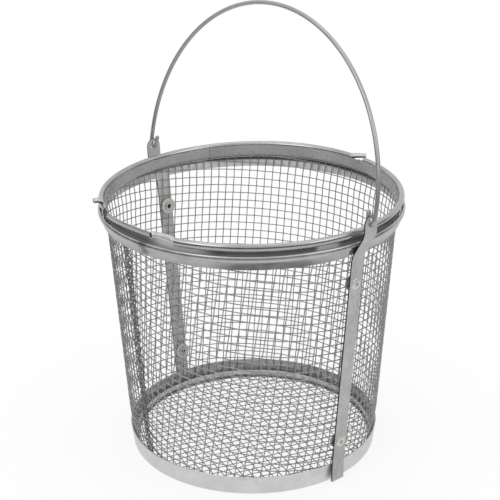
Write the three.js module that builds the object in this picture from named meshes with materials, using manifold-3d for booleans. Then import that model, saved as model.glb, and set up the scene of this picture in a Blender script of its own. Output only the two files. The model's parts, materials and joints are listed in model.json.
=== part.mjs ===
// A galvanised parts washing basket: a tapered wall and a flat floor of woven wire,
// gripped at the top between a rolled collar and a rolled skirt, and at the bottom
// between a flanged band and a clamp hoop. Two riveted straps carry a wire bail.
//
// Millimetres, +Z up. The origin is the centre of the base, and the bail's eyes lie close to X.

import * as THREE from 'three';
import { mergeVertices } from 'three/addons/utils/BufferGeometryUtils.js';
import Module from 'manifold-3d';

const wasm = await Module();
wasm.setup();

// Sheet and running clearance
const SHEET = 0.5;
const CLEARANCE = 0.3;

// Rim: three lengths of collar, rolled outwards along the top edge into an oval bead
const RIM_RADIUS = 113;
const RIM_HEIGHT = 206;
const RIM_ROLL = 4.6;
const RIM_ROLL_HEIGHT = 5.8;
const RIM_ROLL_PROUD = 0.2;
const COLLAR_DEPTH = 12.5;
const COLLAR_JOINT = 0.6;
const HEM_THICKNESS = 1.5;
const HEM_DEPTH = 3.2;
const HEM_DROP = 1;

// The top edge is highest at one angle and sinks away from it on either side
const COLLAR_HIGH_ANGLE = 118;
const COLLAR_HIGH_SPAN = 95;
const COLLAR_SINK = 2.9;

// Where the lengths of collar meet, and how far each roll runs, as angles
const COLLAR_ENDS = { back: 87.5, front: -78.5, side: -113 };
const FRONT_ROLL = { from: -70.5, to: 84 };
const REAR_ROLL = { from: 91.5, to: 239.6 };

// Lugs: the last bit of a roll, cut free of the band and bent outwards
const BACK_LUG = { bend: 38, bendRadius: 6, length: 8, rise: 2 };
const FRONT_LUG = { bend: 40, bendRadius: 22, length: 1.5, rise: 5 };
const SIDE_LUG = { bend: 86, bendRadius: 3, length: 3.9, rise: 4.8 };

// Skirt: the hoop outside the mesh, rolled outwards along its top edge
const SKIRT_DROP = 11.2;
const SKIRT_ROLL = 2.4;
const SKIRT_ROLL_HEIGHT = 4.8;
const SKIRT_DEPTH = 10.2;
const SKIRT_NOTCH_FROM = -6.2;
const SKIRT_NOTCH_TO = -0.5;

// Woven wire, drawn at a coarser pitch than the real cloth
const WALL_FOOT_PROUD = 0.3;
const WALL_HEAD_INSET = 3.1;
const NET_THICKNESS = 1.2;
const NET_WIRE = 1.8;
const NET_PANELS = 12;
const NET_PANEL_COLUMNS = 3;
const NET_ROWS = 9;
const NET_JOINT = 0.3;
const NET_TURN = -2.65;
const NET_FOOT = 5;
const NET_HEAD_DROP = 10;
const FLOOR_PITCH = 18.5;
const FLOOR_EDGE_GAP = 0.6;
const FLOOR_TURN = -17.3;

// Base: a flanged band outside and a low clamp hoop inside
const BASE_RADIUS = 95.2;
const BASE_HEIGHT = 15;
const BASE_SHEET = 0.8;
const BASE_FLANGE = 5;
const BASE_CORNER = 1;
const CLAMP_HEIGHT = 4.2;
const CLAMP_JOINT = 2;
const CLAMP_JOINT_ANGLE = 178.5;

// Straps, riveted through the wall, with an eye above the rim
const STRAP_WIDTH = 12;
const STRAP_THICKNESS = 1.3;
const STRAP_FOOT = 0.4;
const STRAP_LEAN = 1.4;
const STRAP_TURN = { right: -0.3, left: -1.9 };
const STRAP_STANDOFF = 7.2;
const STRAP_BEND_LOW_DROP = 23.5;
const STRAP_BEND_HIGH_DROP = 5.5;
const EYE_HOLE = 6;
const EYE_RISE = 3.7;
const EYE_BRIDGE = 2;

// Blind rivets with their mandrels, and washers inside the wall
const RIVET_UPPER_ROW = 6;
const RIVET_UPPER_RISE = 12.7;
const RIVET_LOWER_ROW = 1;
const RIVET_LOWER_RISE = 4.2;
const RIVET_SHANK = 4.8;
const RIVET_HEAD = 9;
const RIVET_HEAD_RISE = 1.2;
const RIVET_TAIL = 6.6;
const RIVET_TAIL_RISE = 2;
const RIVET_CUP = 4.6;
const MANDREL = 2.6;
const MANDREL_BULB = 3.8;
const MANDREL_BULB_RISE = 0.8;
const MANDREL_SUNK = 0.4;
const WASHER_WIDTH = 12.7;
const WASHER_THICKNESS = 1;
const WASHER_SEAT = 0.8;

// Bail: one round wire with a hook at each end
const BAIL_WIRE = 3.2;
const BAIL_LEG = 7.5;
const BAIL_LEAN = 10.2;
const HOOK_RADIUS = 3;
const HOOK_TIP = 6.5;
const HOOK_TIP_LEAN = 8;

// How finely round forms are faceted
const HOOP_STEPS = 64;
const WIRE_SIDES = 10;
const ROLL_SIDES = 8;
const LUG_STEPS = 4;
const BAIL_ARC_STEPS = 34;
const HOOK_STEPS = 7;
const RIVET_SIDES = 12;
const WASHER_SIDES = 18;
const EYE_SIDES = 24;

const radians = THREE.MathUtils.degToRad;
const lerp = THREE.MathUtils.lerp;
const netColumns = NET_PANELS * NET_PANEL_COLUMNS;
const hoopFacet = Math.cos(Math.PI / HOOP_STEPS);
const netFacet = Math.cos(Math.PI / netColumns);

// The wall's outer line, a plain cone between the base and the rim
const wallFoot = BASE_RADIUS + WALL_FOOT_PROUD;
const wallHead = RIM_RADIUS - WALL_HEAD_INSET;
const wallAngle = Math.atan2(wallHead - wallFoot, RIM_HEIGHT);

function wallLine(z) {
  return lerp(wallFoot, wallHead, z / RIM_HEIGHT);
}

// Radii through the rim, from the inside out, each hoop clear of the next
const collarInner = RIM_RADIUS - RIM_ROLL + RIM_ROLL_PROUD;
const collarOuter = collarInner + SHEET;
const netHeadOuter = (collarOuter + CLEARANCE) / netFacet + NET_THICKNESS;
const skirtHeadInner = (netHeadOuter + CLEARANCE) / hoopFacet;

// The net's rows: the foot is tucked into the base band and the head flares under the skirt
const netFootOuter = BASE_RADIUS - BASE_SHEET - CLEARANCE;
const netHead = RIM_HEIGHT - NET_HEAD_DROP;
const rowPitch = (netHead - NET_FOOT) / (NET_ROWS - 1);

function rowHeight(row) {
  return NET_FOOT + row * rowPitch;
}

function rowRadius(row) {
  if (row === 0) {
    return netFootOuter;
  }
  return row === NET_ROWS - 1 ? netHeadOuter : wallLine(rowHeight(row));
}

function netOuter(z) {
  const place = THREE.MathUtils.clamp((z - NET_FOOT) / rowPitch, 0, NET_ROWS - 1);
  const row = Math.min(Math.floor(place), NET_ROWS - 2);
  return lerp(rowRadius(row), rowRadius(row + 1), place - row);
}

const skirtTop = RIM_HEIGHT - SKIRT_DROP;
const skirtFoot = skirtTop - SKIRT_DEPTH;
const skirtFootInner = (netOuter(skirtFoot) + CLEARANCE) / hoopFacet;

// Heights and radii at the base
const bandTopOuter = (netOuter(BASE_HEIGHT) + CLEARANCE) / hoopFacet + BASE_SHEET;
const floorUnderside = BASE_SHEET + CLEARANCE;
const floorTop = floorUnderside + NET_THICKNESS;
const clampOuter = (netFootOuter - NET_THICKNESS) * netFacet - CLEARANCE;

// The strap's eye, and the hinge at the wire's centre as it rests in the bottom of the eye
const eyeRadius = RIM_RADIUS + STRAP_STANDOFF;
const eyeHeight = RIM_HEIGHT + EYE_RISE;
const hingeHeight = eyeHeight - EYE_HOLE / 2 + CLEARANCE + BAIL_WIRE / 2;

// A BufferGeometry from points and triangles, turned so that its faces point out
function closedSolid(points, triangles) {
  let volume = 0;
  const cross = new THREE.Vector3();
  for (const [a, b, c] of triangles) {
    volume += points[a].dot(cross.crossVectors(points[b], points[c]));
  }
  const facing = volume < 0 ? triangles.map(([a, b, c]) => [a, c, b]) : triangles;
  const geometry = new THREE.BufferGeometry().setFromPoints(points);
  geometry.setIndex(facing.flat());
  return geometry;
}

// Two triangles across four corners given in order
function quad(a, b, c, d) {
  return [[a, b, c], [a, c, d]];
}

// A skin over sections of equal length: a closed ring of them, or a run with capped ends
function loft(sections, ring, capTriangles) {
  const count = sections[0].length;
  const triangles = [];
  const joints = ring ? sections.length : sections.length - 1;
  for (let s = 0; s < joints; s += 1) {
    const here = s * count;
    const next = ((s + 1) % sections.length) * count;
    for (let p = 0; p < count; p += 1) {
      const q = (p + 1) % count;
      triangles.push(...quad(here + p, here + q, next + q, next + p));
    }
  }
  if (!ring) {
    const last = (sections.length - 1) * count;
    for (const [a, b, c] of capTriangles) {
      triangles.push([a, c, b], [last + a, last + b, last + c]);
    }
  }
  return closedSolid(sections.flat(), triangles);
}

// A profile of (radius, height) points carried round Z between two angles in degrees
function hoop(profileAt, from, to) {
  const ring = to - from === 360;
  const steps = Math.ceil(((to - from) / 360) * HOOP_STEPS);
  const sections = [];
  for (let s = 0; s < (ring ? steps : steps + 1); s += 1) {
    const angle = lerp(from, to, s / steps);
    const profile = profileAt(angle);
    const turn = radians(angle);
    const around = ([r, z]) => new THREE.Vector3(r * Math.cos(turn), r * Math.sin(turn), z);
    sections.push(profile.map(around));
  }
  const outline = profileAt(from).map(([r, z]) => new THREE.Vector2(r, z));
  return loft(sections, ring, THREE.ShapeUtils.triangulateShape(outline, []));
}

// Points on an arc in the (radius, height) plane, from one angle to another in degrees
function arcPoints(centreR, centreZ, radius, from, to, steps) {
  const points = [];
  for (let s = 0; s <= steps; s += 1) {
    const turn = radians(lerp(from, to, s / steps));
    points.push([centreR + radius * Math.cos(turn), centreZ + radius * Math.sin(turn)]);
  }
  return points;
}

// A round wire along points in the XZ plane
function planarWire(points, diameter) {
  const sections = points.map((point, i) => {
    const before = points[Math.max(i - 1, 0)];
    const after = points[Math.min(i + 1, points.length - 1)];
    const along = new THREE.Vector2().subVectors(after, before).normalize();
    const section = [];
    for (let side = 0; side < WIRE_SIDES; side += 1) {
      const turn = (side / WIRE_SIDES) * 2 * Math.PI;
      const sideways = (diameter / 2) * Math.cos(turn);
      const y = (diameter / 2) * Math.sin(turn);
      section.push(new THREE.Vector3(point.x - along.y * sideways, y, point.y + along.x * sideways));
    }
    return section;
  });
  const cap = [];
  for (let side = 1; side < WIRE_SIDES - 1; side += 1) {
    cap.push([0, side, side + 1]);
  }
  return loft(sections, false, cap);
}

// Boolean joins and cuts
function toManifold(geometry) {
  const bare = geometry.clone();
  bare.deleteAttribute('normal');
  bare.deleteAttribute('uv');
  const merged = mergeVertices(bare, 1e-4);
  return new wasm.Manifold(new wasm.Mesh({
    numProp: 3,
    vertProperties: new Float32Array(merged.attributes.position.array),
    triVerts: new Uint32Array(merged.index.array),
  }));
}

function fromManifold(solid) {
  const mesh = solid.getMesh();
  const geometry = new THREE.BufferGeometry();
  geometry.setAttribute('position', new THREE.BufferAttribute(new Float32Array(mesh.vertProperties), 3));
  geometry.setIndex(new THREE.BufferAttribute(new Uint32Array(mesh.triVerts), 1));
  return geometry;
}

function join(geometries) {
  return fromManifold(geometries.map(toManifold).reduce((sum, solid) => sum.add(solid)));
}

function cut(geometry, tools) {
  const whole = toManifold(geometry);
  return fromManifold(tools.map(toManifold).reduce((rest, tool) => rest.subtract(tool), whole));
}

// Materials, one for each piece
function metal(color, roughness) {
  return new THREE.MeshStandardMaterial({ color, roughness, metalness: 0.9 });
}

const zincSheet = () => metal(0xb4b6b4, 0.42);
const zincWire = () => metal(0x8f918f, 0.48);
const strapSteel = () => metal(0xa9aaa7, 0.55);
const rivetMetal = () => metal(0xb9aca2, 0.4);
const mandrelSteel = () => metal(0x7d7672, 0.5);
const washerMetal = () => metal(0xb8b4a8, 0.45);
const bailWire = () => metal(0x999b99, 0.4);

function addPiece(parent, name, geometry, material) {
  const mesh = new THREE.Mesh(geometry, material);
  mesh.name = name;
  parent.add(mesh);
  return mesh;
}

// Collar lengths: a plain band, with its top edge rolled outwards over most of its run.
// The roll bulges a little inside the band as well.
const rollRadius = RIM_ROLL / 2;
const rollReach = RIM_RADIUS - rollRadius;
const rollHeight = RIM_HEIGHT - RIM_ROLL_HEIGHT / 2;
const jointTurn = THREE.MathUtils.radToDeg(COLLAR_JOINT / RIM_RADIUS) / 2;

function collarSink(angle) {
  const away = Math.abs(((angle - COLLAR_HIGH_ANGLE + 540) % 360) - 180);
  const share = Math.min(away / COLLAR_HIGH_SPAN, 1);
  return COLLAR_SINK * (1 - Math.cos(Math.PI * share)) / 2;
}

function collarBand(from, to) {
  const foot = RIM_HEIGHT - COLLAR_DEPTH;
  const profileAt = (angle) => [
    [collarInner, foot],
    [collarOuter, foot],
    [collarOuter, rollHeight - collarSink(angle)],
    [collarInner, rollHeight - collarSink(angle)],
  ];
  return hoop(profileAt, from + jointTurn, to - jointTurn);
}

// The frame of a roll at an angle round the rim: its centre, its outward side and its heading
function rimFrame(angle) {
  const turn = radians(angle);
  const side = new THREE.Vector3(Math.cos(turn), Math.sin(turn), 0);
  const heading = new THREE.Vector3(-Math.sin(turn), Math.cos(turn), 0);
  const centre = side.clone().multiplyScalar(rollReach).setZ(rollHeight - collarSink(angle));
  return { centre, side, heading };
}

// The frames of a lug that leaves the rim at an angle, either way round, turns outwards and may rise
function lugFrames(lug, angle, way) {
  const { centre, side, heading } = rimFrame(angle);
  const ahead = heading.multiplyScalar(way);
  const bent = (share) => radians(lug.bend * share);
  const turned = (share) => ({
    centre: centre.clone()
      .addScaledVector(ahead, lug.bendRadius * Math.sin(bent(share)))
      .addScaledVector(side, lug.bendRadius * (1 - Math.cos(bent(share))))
      .add(new THREE.Vector3(0, 0, lug.rise * share)),
    side: side.clone().multiplyScalar(Math.cos(bent(share))).addScaledVector(ahead, -Math.sin(bent(share))),
  });
  const frames = [];
  for (let s = 1; s <= LUG_STEPS; s += 1) {
    frames.push(turned(s / LUG_STEPS));
  }
  const last = turned(1);
  last.centre
    .addScaledVector(ahead, lug.length * Math.cos(bent(1)))
    .addScaledVector(side, lug.length * Math.sin(bent(1)));
  return [...frames, last];
}

function rolledEdge({ from, to }, lugAtFrom, lugAtTo) {
  const steps = Math.ceil(((to - from) / 360) * HOOP_STEPS);
  const frames = [];
  for (let s = 0; s <= steps; s += 1) {
    frames.push(rimFrame(lerp(from, to, s / steps)));
  }
  if (lugAtFrom) {
    frames.unshift(...lugFrames(lugAtFrom, from, -1).reverse());
  }
  if (lugAtTo) {
    frames.push(...lugFrames(lugAtTo, to, 1));
  }
  const round = arcPoints(0, 0, rollRadius, 90, 450, ROLL_SIDES).slice(1);
  const tall = RIM_ROLL_HEIGHT / RIM_ROLL;
  const sections = frames.map(({ centre, side }) => round.map(([out, up]) => {
    const point = centre.clone().addScaledVector(side, out);
    return point.setZ(centre.z + up * tall);
  }));
  const cap = [];
  for (let place = 1; place < ROLL_SIDES - 1; place += 1) {
    cap.push([0, place, place + 1]);
  }
  return loft(sections, false, cap);
}

// The short collar length between the front and side lugs has a flat hem and no roll
function hemmedLength(from, to) {
  const foot = RIM_HEIGHT - COLLAR_DEPTH;
  const profileAt = (angle) => {
    const top = RIM_HEIGHT - HEM_DROP - collarSink(angle);
    const hemFoot = top - HEM_DEPTH;
    return [
      [collarInner, foot],
      [collarOuter, foot],
      [collarOuter, hemFoot - SHEET],
      [collarInner + HEM_THICKNESS, hemFoot],
      [collarInner + HEM_THICKNESS, top - SHEET],
      [collarInner + SHEET, top],
      [collarInner, top - SHEET],
    ];
  };
  return hoop(profileAt, from + jointTurn, to - jointTurn);
}

// Skirt: a cone with a rolled top edge, notched where its ends meet under one strap
function skirtSolid() {
  const roll = SKIRT_ROLL / 2;
  const half = SKIRT_ROLL_HEIGHT / 2;
  const centreR = skirtHeadInner + roll;
  const centreZ = skirtTop - half;
  const meets = THREE.MathUtils.radToDeg(Math.acos((roll - SHEET) / roll));
  const oval = arcPoints(0, 0, 1, meets - 180, 180, 6);
  const profile = [
    [skirtFootInner, skirtFoot],
    [skirtFootInner + SHEET, skirtFoot],
    ...oval.map(([out, up]) => [centreR + roll * out, centreZ + half * up]),
  ];
  const ring = hoop(() => profile, 0, 360);
  const notchTop = skirtTop - SKIRT_ROLL_HEIGHT;
  const notchHeight = notchTop - skirtFoot + CLEARANCE;
  const near = RIM_RADIUS * Math.sin(radians(SKIRT_NOTCH_FROM));
  const far = RIM_RADIUS * Math.sin(radians(SKIRT_NOTCH_TO));
  const notch = new THREE.BoxGeometry(RIM_RADIUS / 2, far - near, notchHeight);
  notch.translate(RIM_RADIUS, (near + far) / 2, notchTop - notchHeight / 2);
  return cut(ring, [notch]);
}

// A sheet of flat cells with open windows: two faces, and walls along every free edge.
// Each place has a point on either face, and a cell names its four places in order.
function netSolid(places, cells) {
  const names = [...places.keys()];
  const index = new Map(names.map((name, i) => [name, i * 2]));
  const points = names.flatMap((name) => places.get(name));
  const edges = cells.flatMap((cell) => cell.map((name, i) => [name, cell[(i + 1) % 4]]));
  const shared = new Set(edges.map(([a, b]) => `${a} ${b}`));
  const triangles = [];
  for (const cell of cells) {
    const [a, b, c, d] = cell.map((name) => index.get(name));
    triangles.push(...quad(a, b, c, d), ...quad(d + 1, c + 1, b + 1, a + 1));
  }
  for (const [from, to] of edges.filter(([a, b]) => !shared.has(`${b} ${a}`))) {
    const a = index.get(from);
    const b = index.get(to);
    triangles.push(...quad(b, a, a + 1, b + 1));
  }
  return closedSolid(points, triangles);
}

// Wall net: a panel of uprights with the lengths of hoop that cross them. The cloth is one sheet,
// drawn as panels that meet halfway between two uprights.
function wallPanel(panel) {
  const places = new Map();
  const cells = [];
  const spots = NET_PANEL_COLUMNS * 2 + 2;
  const name = (ring, spot) => `${ring},${spot}`;
  const columnTurn = (2 * Math.PI) / netColumns;
  const start = panel * NET_PANEL_COLUMNS;
  for (let ring = 0; ring < NET_ROWS * 2; ring += 1) {
    const row = Math.floor(ring / 2);
    const z = rowHeight(row) + (ring % 2 ? NET_WIRE / 2 : -NET_WIRE / 2);
    const outer = rowRadius(row);
    const half = NET_WIRE / 2 / outer;
    const joint = NET_JOINT / 2 / outer;
    for (let spot = 0; spot < spots; spot += 1) {
      const column = start + Math.floor((spot - 1) / 2) + 0.5;
      let turn = column * columnTurn + (spot % 2 ? -half : half);
      if (spot === 0) {
        turn = start * columnTurn + joint;
      }
      if (spot === spots - 1) {
        turn = (start + NET_PANEL_COLUMNS) * columnTurn - joint;
      }
      const faces = [outer, outer - NET_THICKNESS];
      const onFace = (r) => new THREE.Vector3(r * Math.cos(turn), r * Math.sin(turn), z);
      places.set(name(ring, spot), faces.map(onFace));
      const hoopCell = ring % 2 === 0;
      const uprightCell = spot % 2 === 1 && ring < NET_ROWS * 2 - 1;
      if (spot < spots - 1 && (hoopCell || uprightCell)) {
        const lower = [name(ring, spot), name(ring, spot + 1)];
        cells.push([...lower, name(ring + 1, spot + 1), name(ring + 1, spot)]);
      }
    }
  }
  return netSolid(places, cells).rotateZ(radians(NET_TURN));
}

// Floor net: two crossing sets of wires trimmed to a disc
function floorNet() {
  const radius = netFootOuter - FLOOR_EDGE_GAP;
  const reach = Math.floor((radius - NET_WIRE) / FLOOR_PITCH);
  const half = NET_WIRE / 2;
  const wireEdge = (i) => (Math.abs(i) > reach ? radius : Math.abs(i) * FLOOR_PITCH + half);
  const crosses = (i, j) => Math.hypot(wireEdge(i), wireEdge(j)) < radius;
  const corner = ([i, j], [x, y]) => `${i} ${j} ${x} ${y}`;
  const corners = [[-1, -1], [1, -1], [1, 1], [-1, 1]];
  const places = new Map();
  const cells = [];
  const put = (name, [x, y]) => {
    places.set(name, [floorTop, floorUnderside].map((z) => new THREE.Vector3(x, y, z)));
  };
  const lastCrossing = new Map();
  for (let i = -reach; i <= reach; i += 1) {
    for (let j = -reach; j <= reach; j += 1) {
      if (!crosses(i, j)) {
        continue;
      }
      const names = corners.map((sides) => corner([i, j], sides));
      names.forEach((name, n) => {
        const [x, y] = corners[n];
        put(name, [i * FLOOR_PITCH + x * half, j * FLOOR_PITCH + y * half]);
      });
      cells.push(names);
      if (crosses(i + 1, j)) {
        cells.push([names[1], corner([i + 1, j], [-1, -1]), corner([i + 1, j], [-1, 1]), names[2]]);
      }
      if (crosses(i, j + 1)) {
        cells.push([names[3], names[2], corner([i, j + 1], [1, -1]), corner([i, j + 1], [-1, -1])]);
      }
      lastCrossing.set(i, j);
    }
  }
  for (const swapped of [false, true]) {
    const turned = (pair) => (swapped ? pair.toReversed() : pair);
    for (const [i, last] of lastCrossing) {
      for (const way of [-1, 1]) {
        const end = way * Math.sqrt(radius ** 2 - wireEdge(i) ** 2);
        const roots = [-1, 1].map((side) => corner(turned([i, way * last]), turned([side, way])));
        const tips = [-1, 1].map((side) => `tip ${swapped} ${i} ${way} ${side}`);
        put(tips[0], turned([i * FLOOR_PITCH - half, end]));
        put(tips[1], turned([i * FLOOR_PITCH + half, end]));
        const cell = [roots[0], roots[1], tips[1], tips[0]];
        cells.push((way > 0) === swapped ? cell.reverse() : cell);
      }
    }
  }
  return netSolid(places, cells).rotateZ(radians(FLOOR_TURN));
}

// Base band: a tapered band with a rounded corner and an inward flange to stand on
function baseBand() {
  const cornerR = BASE_RADIUS - BASE_CORNER;
  const profile = [
    [bandTopOuter - BASE_SHEET, BASE_HEIGHT],
    [BASE_RADIUS - BASE_SHEET, BASE_SHEET],
    [BASE_RADIUS - BASE_FLANGE, BASE_SHEET],
    [BASE_RADIUS - BASE_FLANGE, 0],
    ...arcPoints(cornerR, BASE_CORNER, BASE_CORNER, -90, 0, 3),
    [bandTopOuter, BASE_HEIGHT],
  ];
  return hoop(() => profile, 0, 360);
}

// Clamp hoop: a low strip that holds the floor's edge down, with its ends butted
function clampHoop() {
  const foot = floorTop + CLEARANCE;
  const profile = [
    [clampOuter - BASE_SHEET, foot],
    [clampOuter, foot],
    [clampOuter, foot + CLAMP_HEIGHT],
    [clampOuter - BASE_SHEET, foot + CLAMP_HEIGHT],
  ];
  const half = THREE.MathUtils.radToDeg(CLAMP_JOINT / clampOuter) / 2;
  return hoop(() => profile, CLAMP_JOINT_ANGLE + half - 360, CLAMP_JOINT_ANGLE - half);
}

// The inner face of a strap as (radius, height) points, from its foot up to the eye
const bendLow = RIM_HEIGHT - STRAP_BEND_LOW_DROP;
const bendHigh = RIM_HEIGHT - STRAP_BEND_HIGH_DROP;
const strapFootInner = bandTopOuter + CLEARANCE;
const strapPath = [
  new THREE.Vector2(strapFootInner, STRAP_FOOT),
  new THREE.Vector2(strapFootInner, BASE_HEIGHT),
  new THREE.Vector2(netOuter(bendLow) + CLEARANCE, bendLow),
  new THREE.Vector2(eyeRadius - STRAP_THICKNESS / 2, bendHigh),
  new THREE.Vector2(eyeRadius - STRAP_THICKNESS / 2, eyeHeight - EYE_HOLE / 2),
];

function strapInnerAt(z) {
  const next = strapPath.findIndex((point) => point.y >= z);
  const from = strapPath[next - 1];
  const to = strapPath[next];
  return lerp(from.x, to.x, (z - from.y) / (to.y - from.y));
}

// Offsets a path sideways by a thickness, mitred at its bends
function offsetPath(path, thickness) {
  const normals = path.slice(1).map((point, i) => {
    const along = new THREE.Vector2().subVectors(point, path[i]).normalize();
    return new THREE.Vector2(along.y, -along.x);
  });
  return path.map((point, i) => {
    const before = normals[Math.max(i - 1, 0)];
    const after = normals[Math.min(i, normals.length - 1)];
    const mitre = new THREE.Vector2().addVectors(before, after).normalize();
    return point.clone().addScaledVector(mitre, thickness / mitre.dot(after));
  });
}

// The line of a rivet through the strap and wall, as a place and a tilt in the strap's plane
function rivetLine(height) {
  const seat = strapInnerAt(height) + STRAP_THICKNESS / Math.cos(wallAngle);
  return { seat, height };
}

const rivetLines = [
  ['upper', rivetLine(rowHeight(RIVET_UPPER_ROW) + RIVET_UPPER_RISE)],
  ['lower', rivetLine(rowHeight(RIVET_LOWER_ROW) + RIVET_LOWER_RISE)],
];

// A solid turned about X' so that its own +Y points outwards along a rivet line
function setOnRivetLine(geometry, line) {
  geometry.rotateZ(-Math.PI / 2);
  geometry.rotateY(wallAngle);
  return geometry.translate(line.seat, 0, line.height - hingeHeight);
}

function strapSolid() {
  const outline = [...strapPath, ...offsetPath(strapPath, STRAP_THICKNESS).reverse()];
  const side = new THREE.Shape(outline.map((point) => new THREE.Vector2(point.x, point.y - hingeHeight)));
  const ribbon = new THREE.ExtrudeGeometry(side, { depth: STRAP_WIDTH, bevelEnabled: false });
  ribbon.translate(0, 0, -STRAP_WIDTH / 2);
  ribbon.rotateX(Math.PI / 2);
  const headCentre = eyeHeight + EYE_HOLE / 2 + EYE_BRIDGE - STRAP_WIDTH / 2 - hingeHeight;
  const head = new THREE.Shape();
  head.moveTo(-STRAP_WIDTH / 2, bendHigh + SHEET - hingeHeight);
  head.lineTo(STRAP_WIDTH / 2, bendHigh + SHEET - hingeHeight);
  head.lineTo(STRAP_WIDTH / 2, headCentre);
  head.absarc(0, headCentre, STRAP_WIDTH / 2, 0, Math.PI, false);
  const plate = new THREE.ExtrudeGeometry(head, {
    depth: STRAP_THICKNESS,
    bevelEnabled: false,
    curveSegments: EYE_SIDES / 2,
  });
  plate.rotateX(Math.PI / 2);
  plate.rotateZ(Math.PI / 2);
  plate.translate(eyeRadius - STRAP_THICKNESS / 2, 0, 0);
  const through = STRAP_THICKNESS * 4;
  const eye = new THREE.CylinderGeometry(EYE_HOLE / 2, EYE_HOLE / 2, through, EYE_SIDES);
  eye.rotateZ(Math.PI / 2);
  eye.translate(eyeRadius, 0, eyeHeight - hingeHeight);
  const holes = rivetLines.map(([, line]) => {
    const bore = RIVET_SHANK / 2 + CLEARANCE;
    return setOnRivetLine(new THREE.CylinderGeometry(bore, bore, through, RIVET_SIDES), line);
  });
  return cut(join([ribbon, plate]), [eye, ...holes]);
}

// Depths inward from the strap's outer face, along a rivet line
function washerDepth(line) {
  const wallInner = netOuter(line.height) - NET_THICKNESS;
  return (line.seat - wallInner) * Math.cos(wallAngle) + WASHER_SEAT;
}

function rivetTail(line) {
  return -(washerDepth(line) + WASHER_THICKNESS + CLEARANCE);
}

// Rivet body: a domed head, a hollow shank and a set tail behind the washer, cupped at its end
function rivetSolid(line) {
  const headFoot = CLEARANCE;
  const tailHead = rivetTail(line);
  const tailEnd = tailHead - RIVET_TAIL_RISE;
  const bore = MANDREL / 2 + CLEARANCE;
  const profile = [
    new THREE.Vector2(RIVET_CUP / 2, tailEnd),
    new THREE.Vector2(RIVET_TAIL * 0.46, tailEnd),
    new THREE.Vector2(RIVET_TAIL / 2, tailEnd + RIVET_TAIL_RISE / 4),
    new THREE.Vector2(RIVET_TAIL / 2, tailHead),
    new THREE.Vector2(RIVET_SHANK / 2, tailHead),
    new THREE.Vector2(RIVET_SHANK / 2, headFoot),
    new THREE.Vector2(RIVET_HEAD / 2, headFoot),
    new THREE.Vector2(RIVET_HEAD * 0.43, headFoot + RIVET_HEAD_RISE * 0.6),
    new THREE.Vector2(bore, headFoot + RIVET_HEAD_RISE),
    new THREE.Vector2(bore, tailHead - SHEET),
    new THREE.Vector2(RIVET_CUP / 2, tailHead - SHEET),
    new THREE.Vector2(RIVET_CUP / 2, tailEnd),
  ];
  return setOnRivetLine(new THREE.LatheGeometry(profile, RIVET_SIDES), line);
}

// Mandrel: the broken pin left in the rivet, its bulb sunk in the tail's cup
function mandrelSolid(line) {
  const bulbHead = rivetTail(line) - SHEET - CLEARANCE;
  const bulbEnd = bulbHead - MANDREL_BULB_RISE;
  const top = CLEARANCE + RIVET_HEAD_RISE - MANDREL_SUNK;
  const profile = [
    new THREE.Vector2(0, bulbEnd),
    new THREE.Vector2(MANDREL_BULB * 0.35, bulbEnd + MANDREL_BULB_RISE * 0.25),
    new THREE.Vector2(MANDREL_BULB / 2, bulbHead),
    new THREE.Vector2(MANDREL / 2, bulbHead),
    new THREE.Vector2(MANDREL / 2, top),
    new THREE.Vector2(0, top),
  ];
  return setOnRivetLine(new THREE.LatheGeometry(profile, RIVET_SIDES), line);
}

function washerSolid(line) {
  const outerFace = -washerDepth(line);
  const bore = RIVET_SHANK / 2 + CLEARANCE;
  const profile = [
    new THREE.Vector2(bore, outerFace),
    new THREE.Vector2(bore, outerFace - WASHER_THICKNESS),
    new THREE.Vector2(WASHER_WIDTH / 2, outerFace - WASHER_THICKNESS),
    new THREE.Vector2(WASHER_WIDTH / 2, outerFace),
    new THREE.Vector2(bore, outerFace),
  ];
  return setOnRivetLine(new THREE.LatheGeometry(profile, WASHER_SIDES), line);
}

// Bail centre line in its own plane, from one hook tip over the crown to the other
function bailPath() {
  const legReach = eyeRadius + HOOK_RADIUS;
  const bend = 180 - HOOK_TIP_LEAN;
  const half = [];
  for (let s = 0; s <= HOOK_STEPS; s += 1) {
    const turn = radians(lerp(-bend, 0, s / HOOK_STEPS));
    half.push(new THREE.Vector2(
      eyeRadius + HOOK_RADIUS * Math.cos(turn),
      HOOK_RADIUS + HOOK_RADIUS * Math.sin(turn),
    ));
  }
  const lean = radians(HOOK_TIP_LEAN);
  const tipward = new THREE.Vector2(-Math.sin(lean), Math.cos(lean));
  half.unshift(half[0].clone().addScaledVector(tipward, HOOK_TIP));
  for (let s = 0; s < BAIL_ARC_STEPS / 2; s += 1) {
    const turn = (s / BAIL_ARC_STEPS) * Math.PI;
    half.push(new THREE.Vector2(legReach * Math.cos(turn), BAIL_LEG + legReach * Math.sin(turn)));
  }
  const crown = new THREE.Vector2(0, BAIL_LEG + legReach);
  const mirrored = half.map((point) => new THREE.Vector2(-point.x, point.y)).reverse();
  return [...half, crown, ...mirrored];
}

// Assembly
const basket = new THREE.Group();

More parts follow.
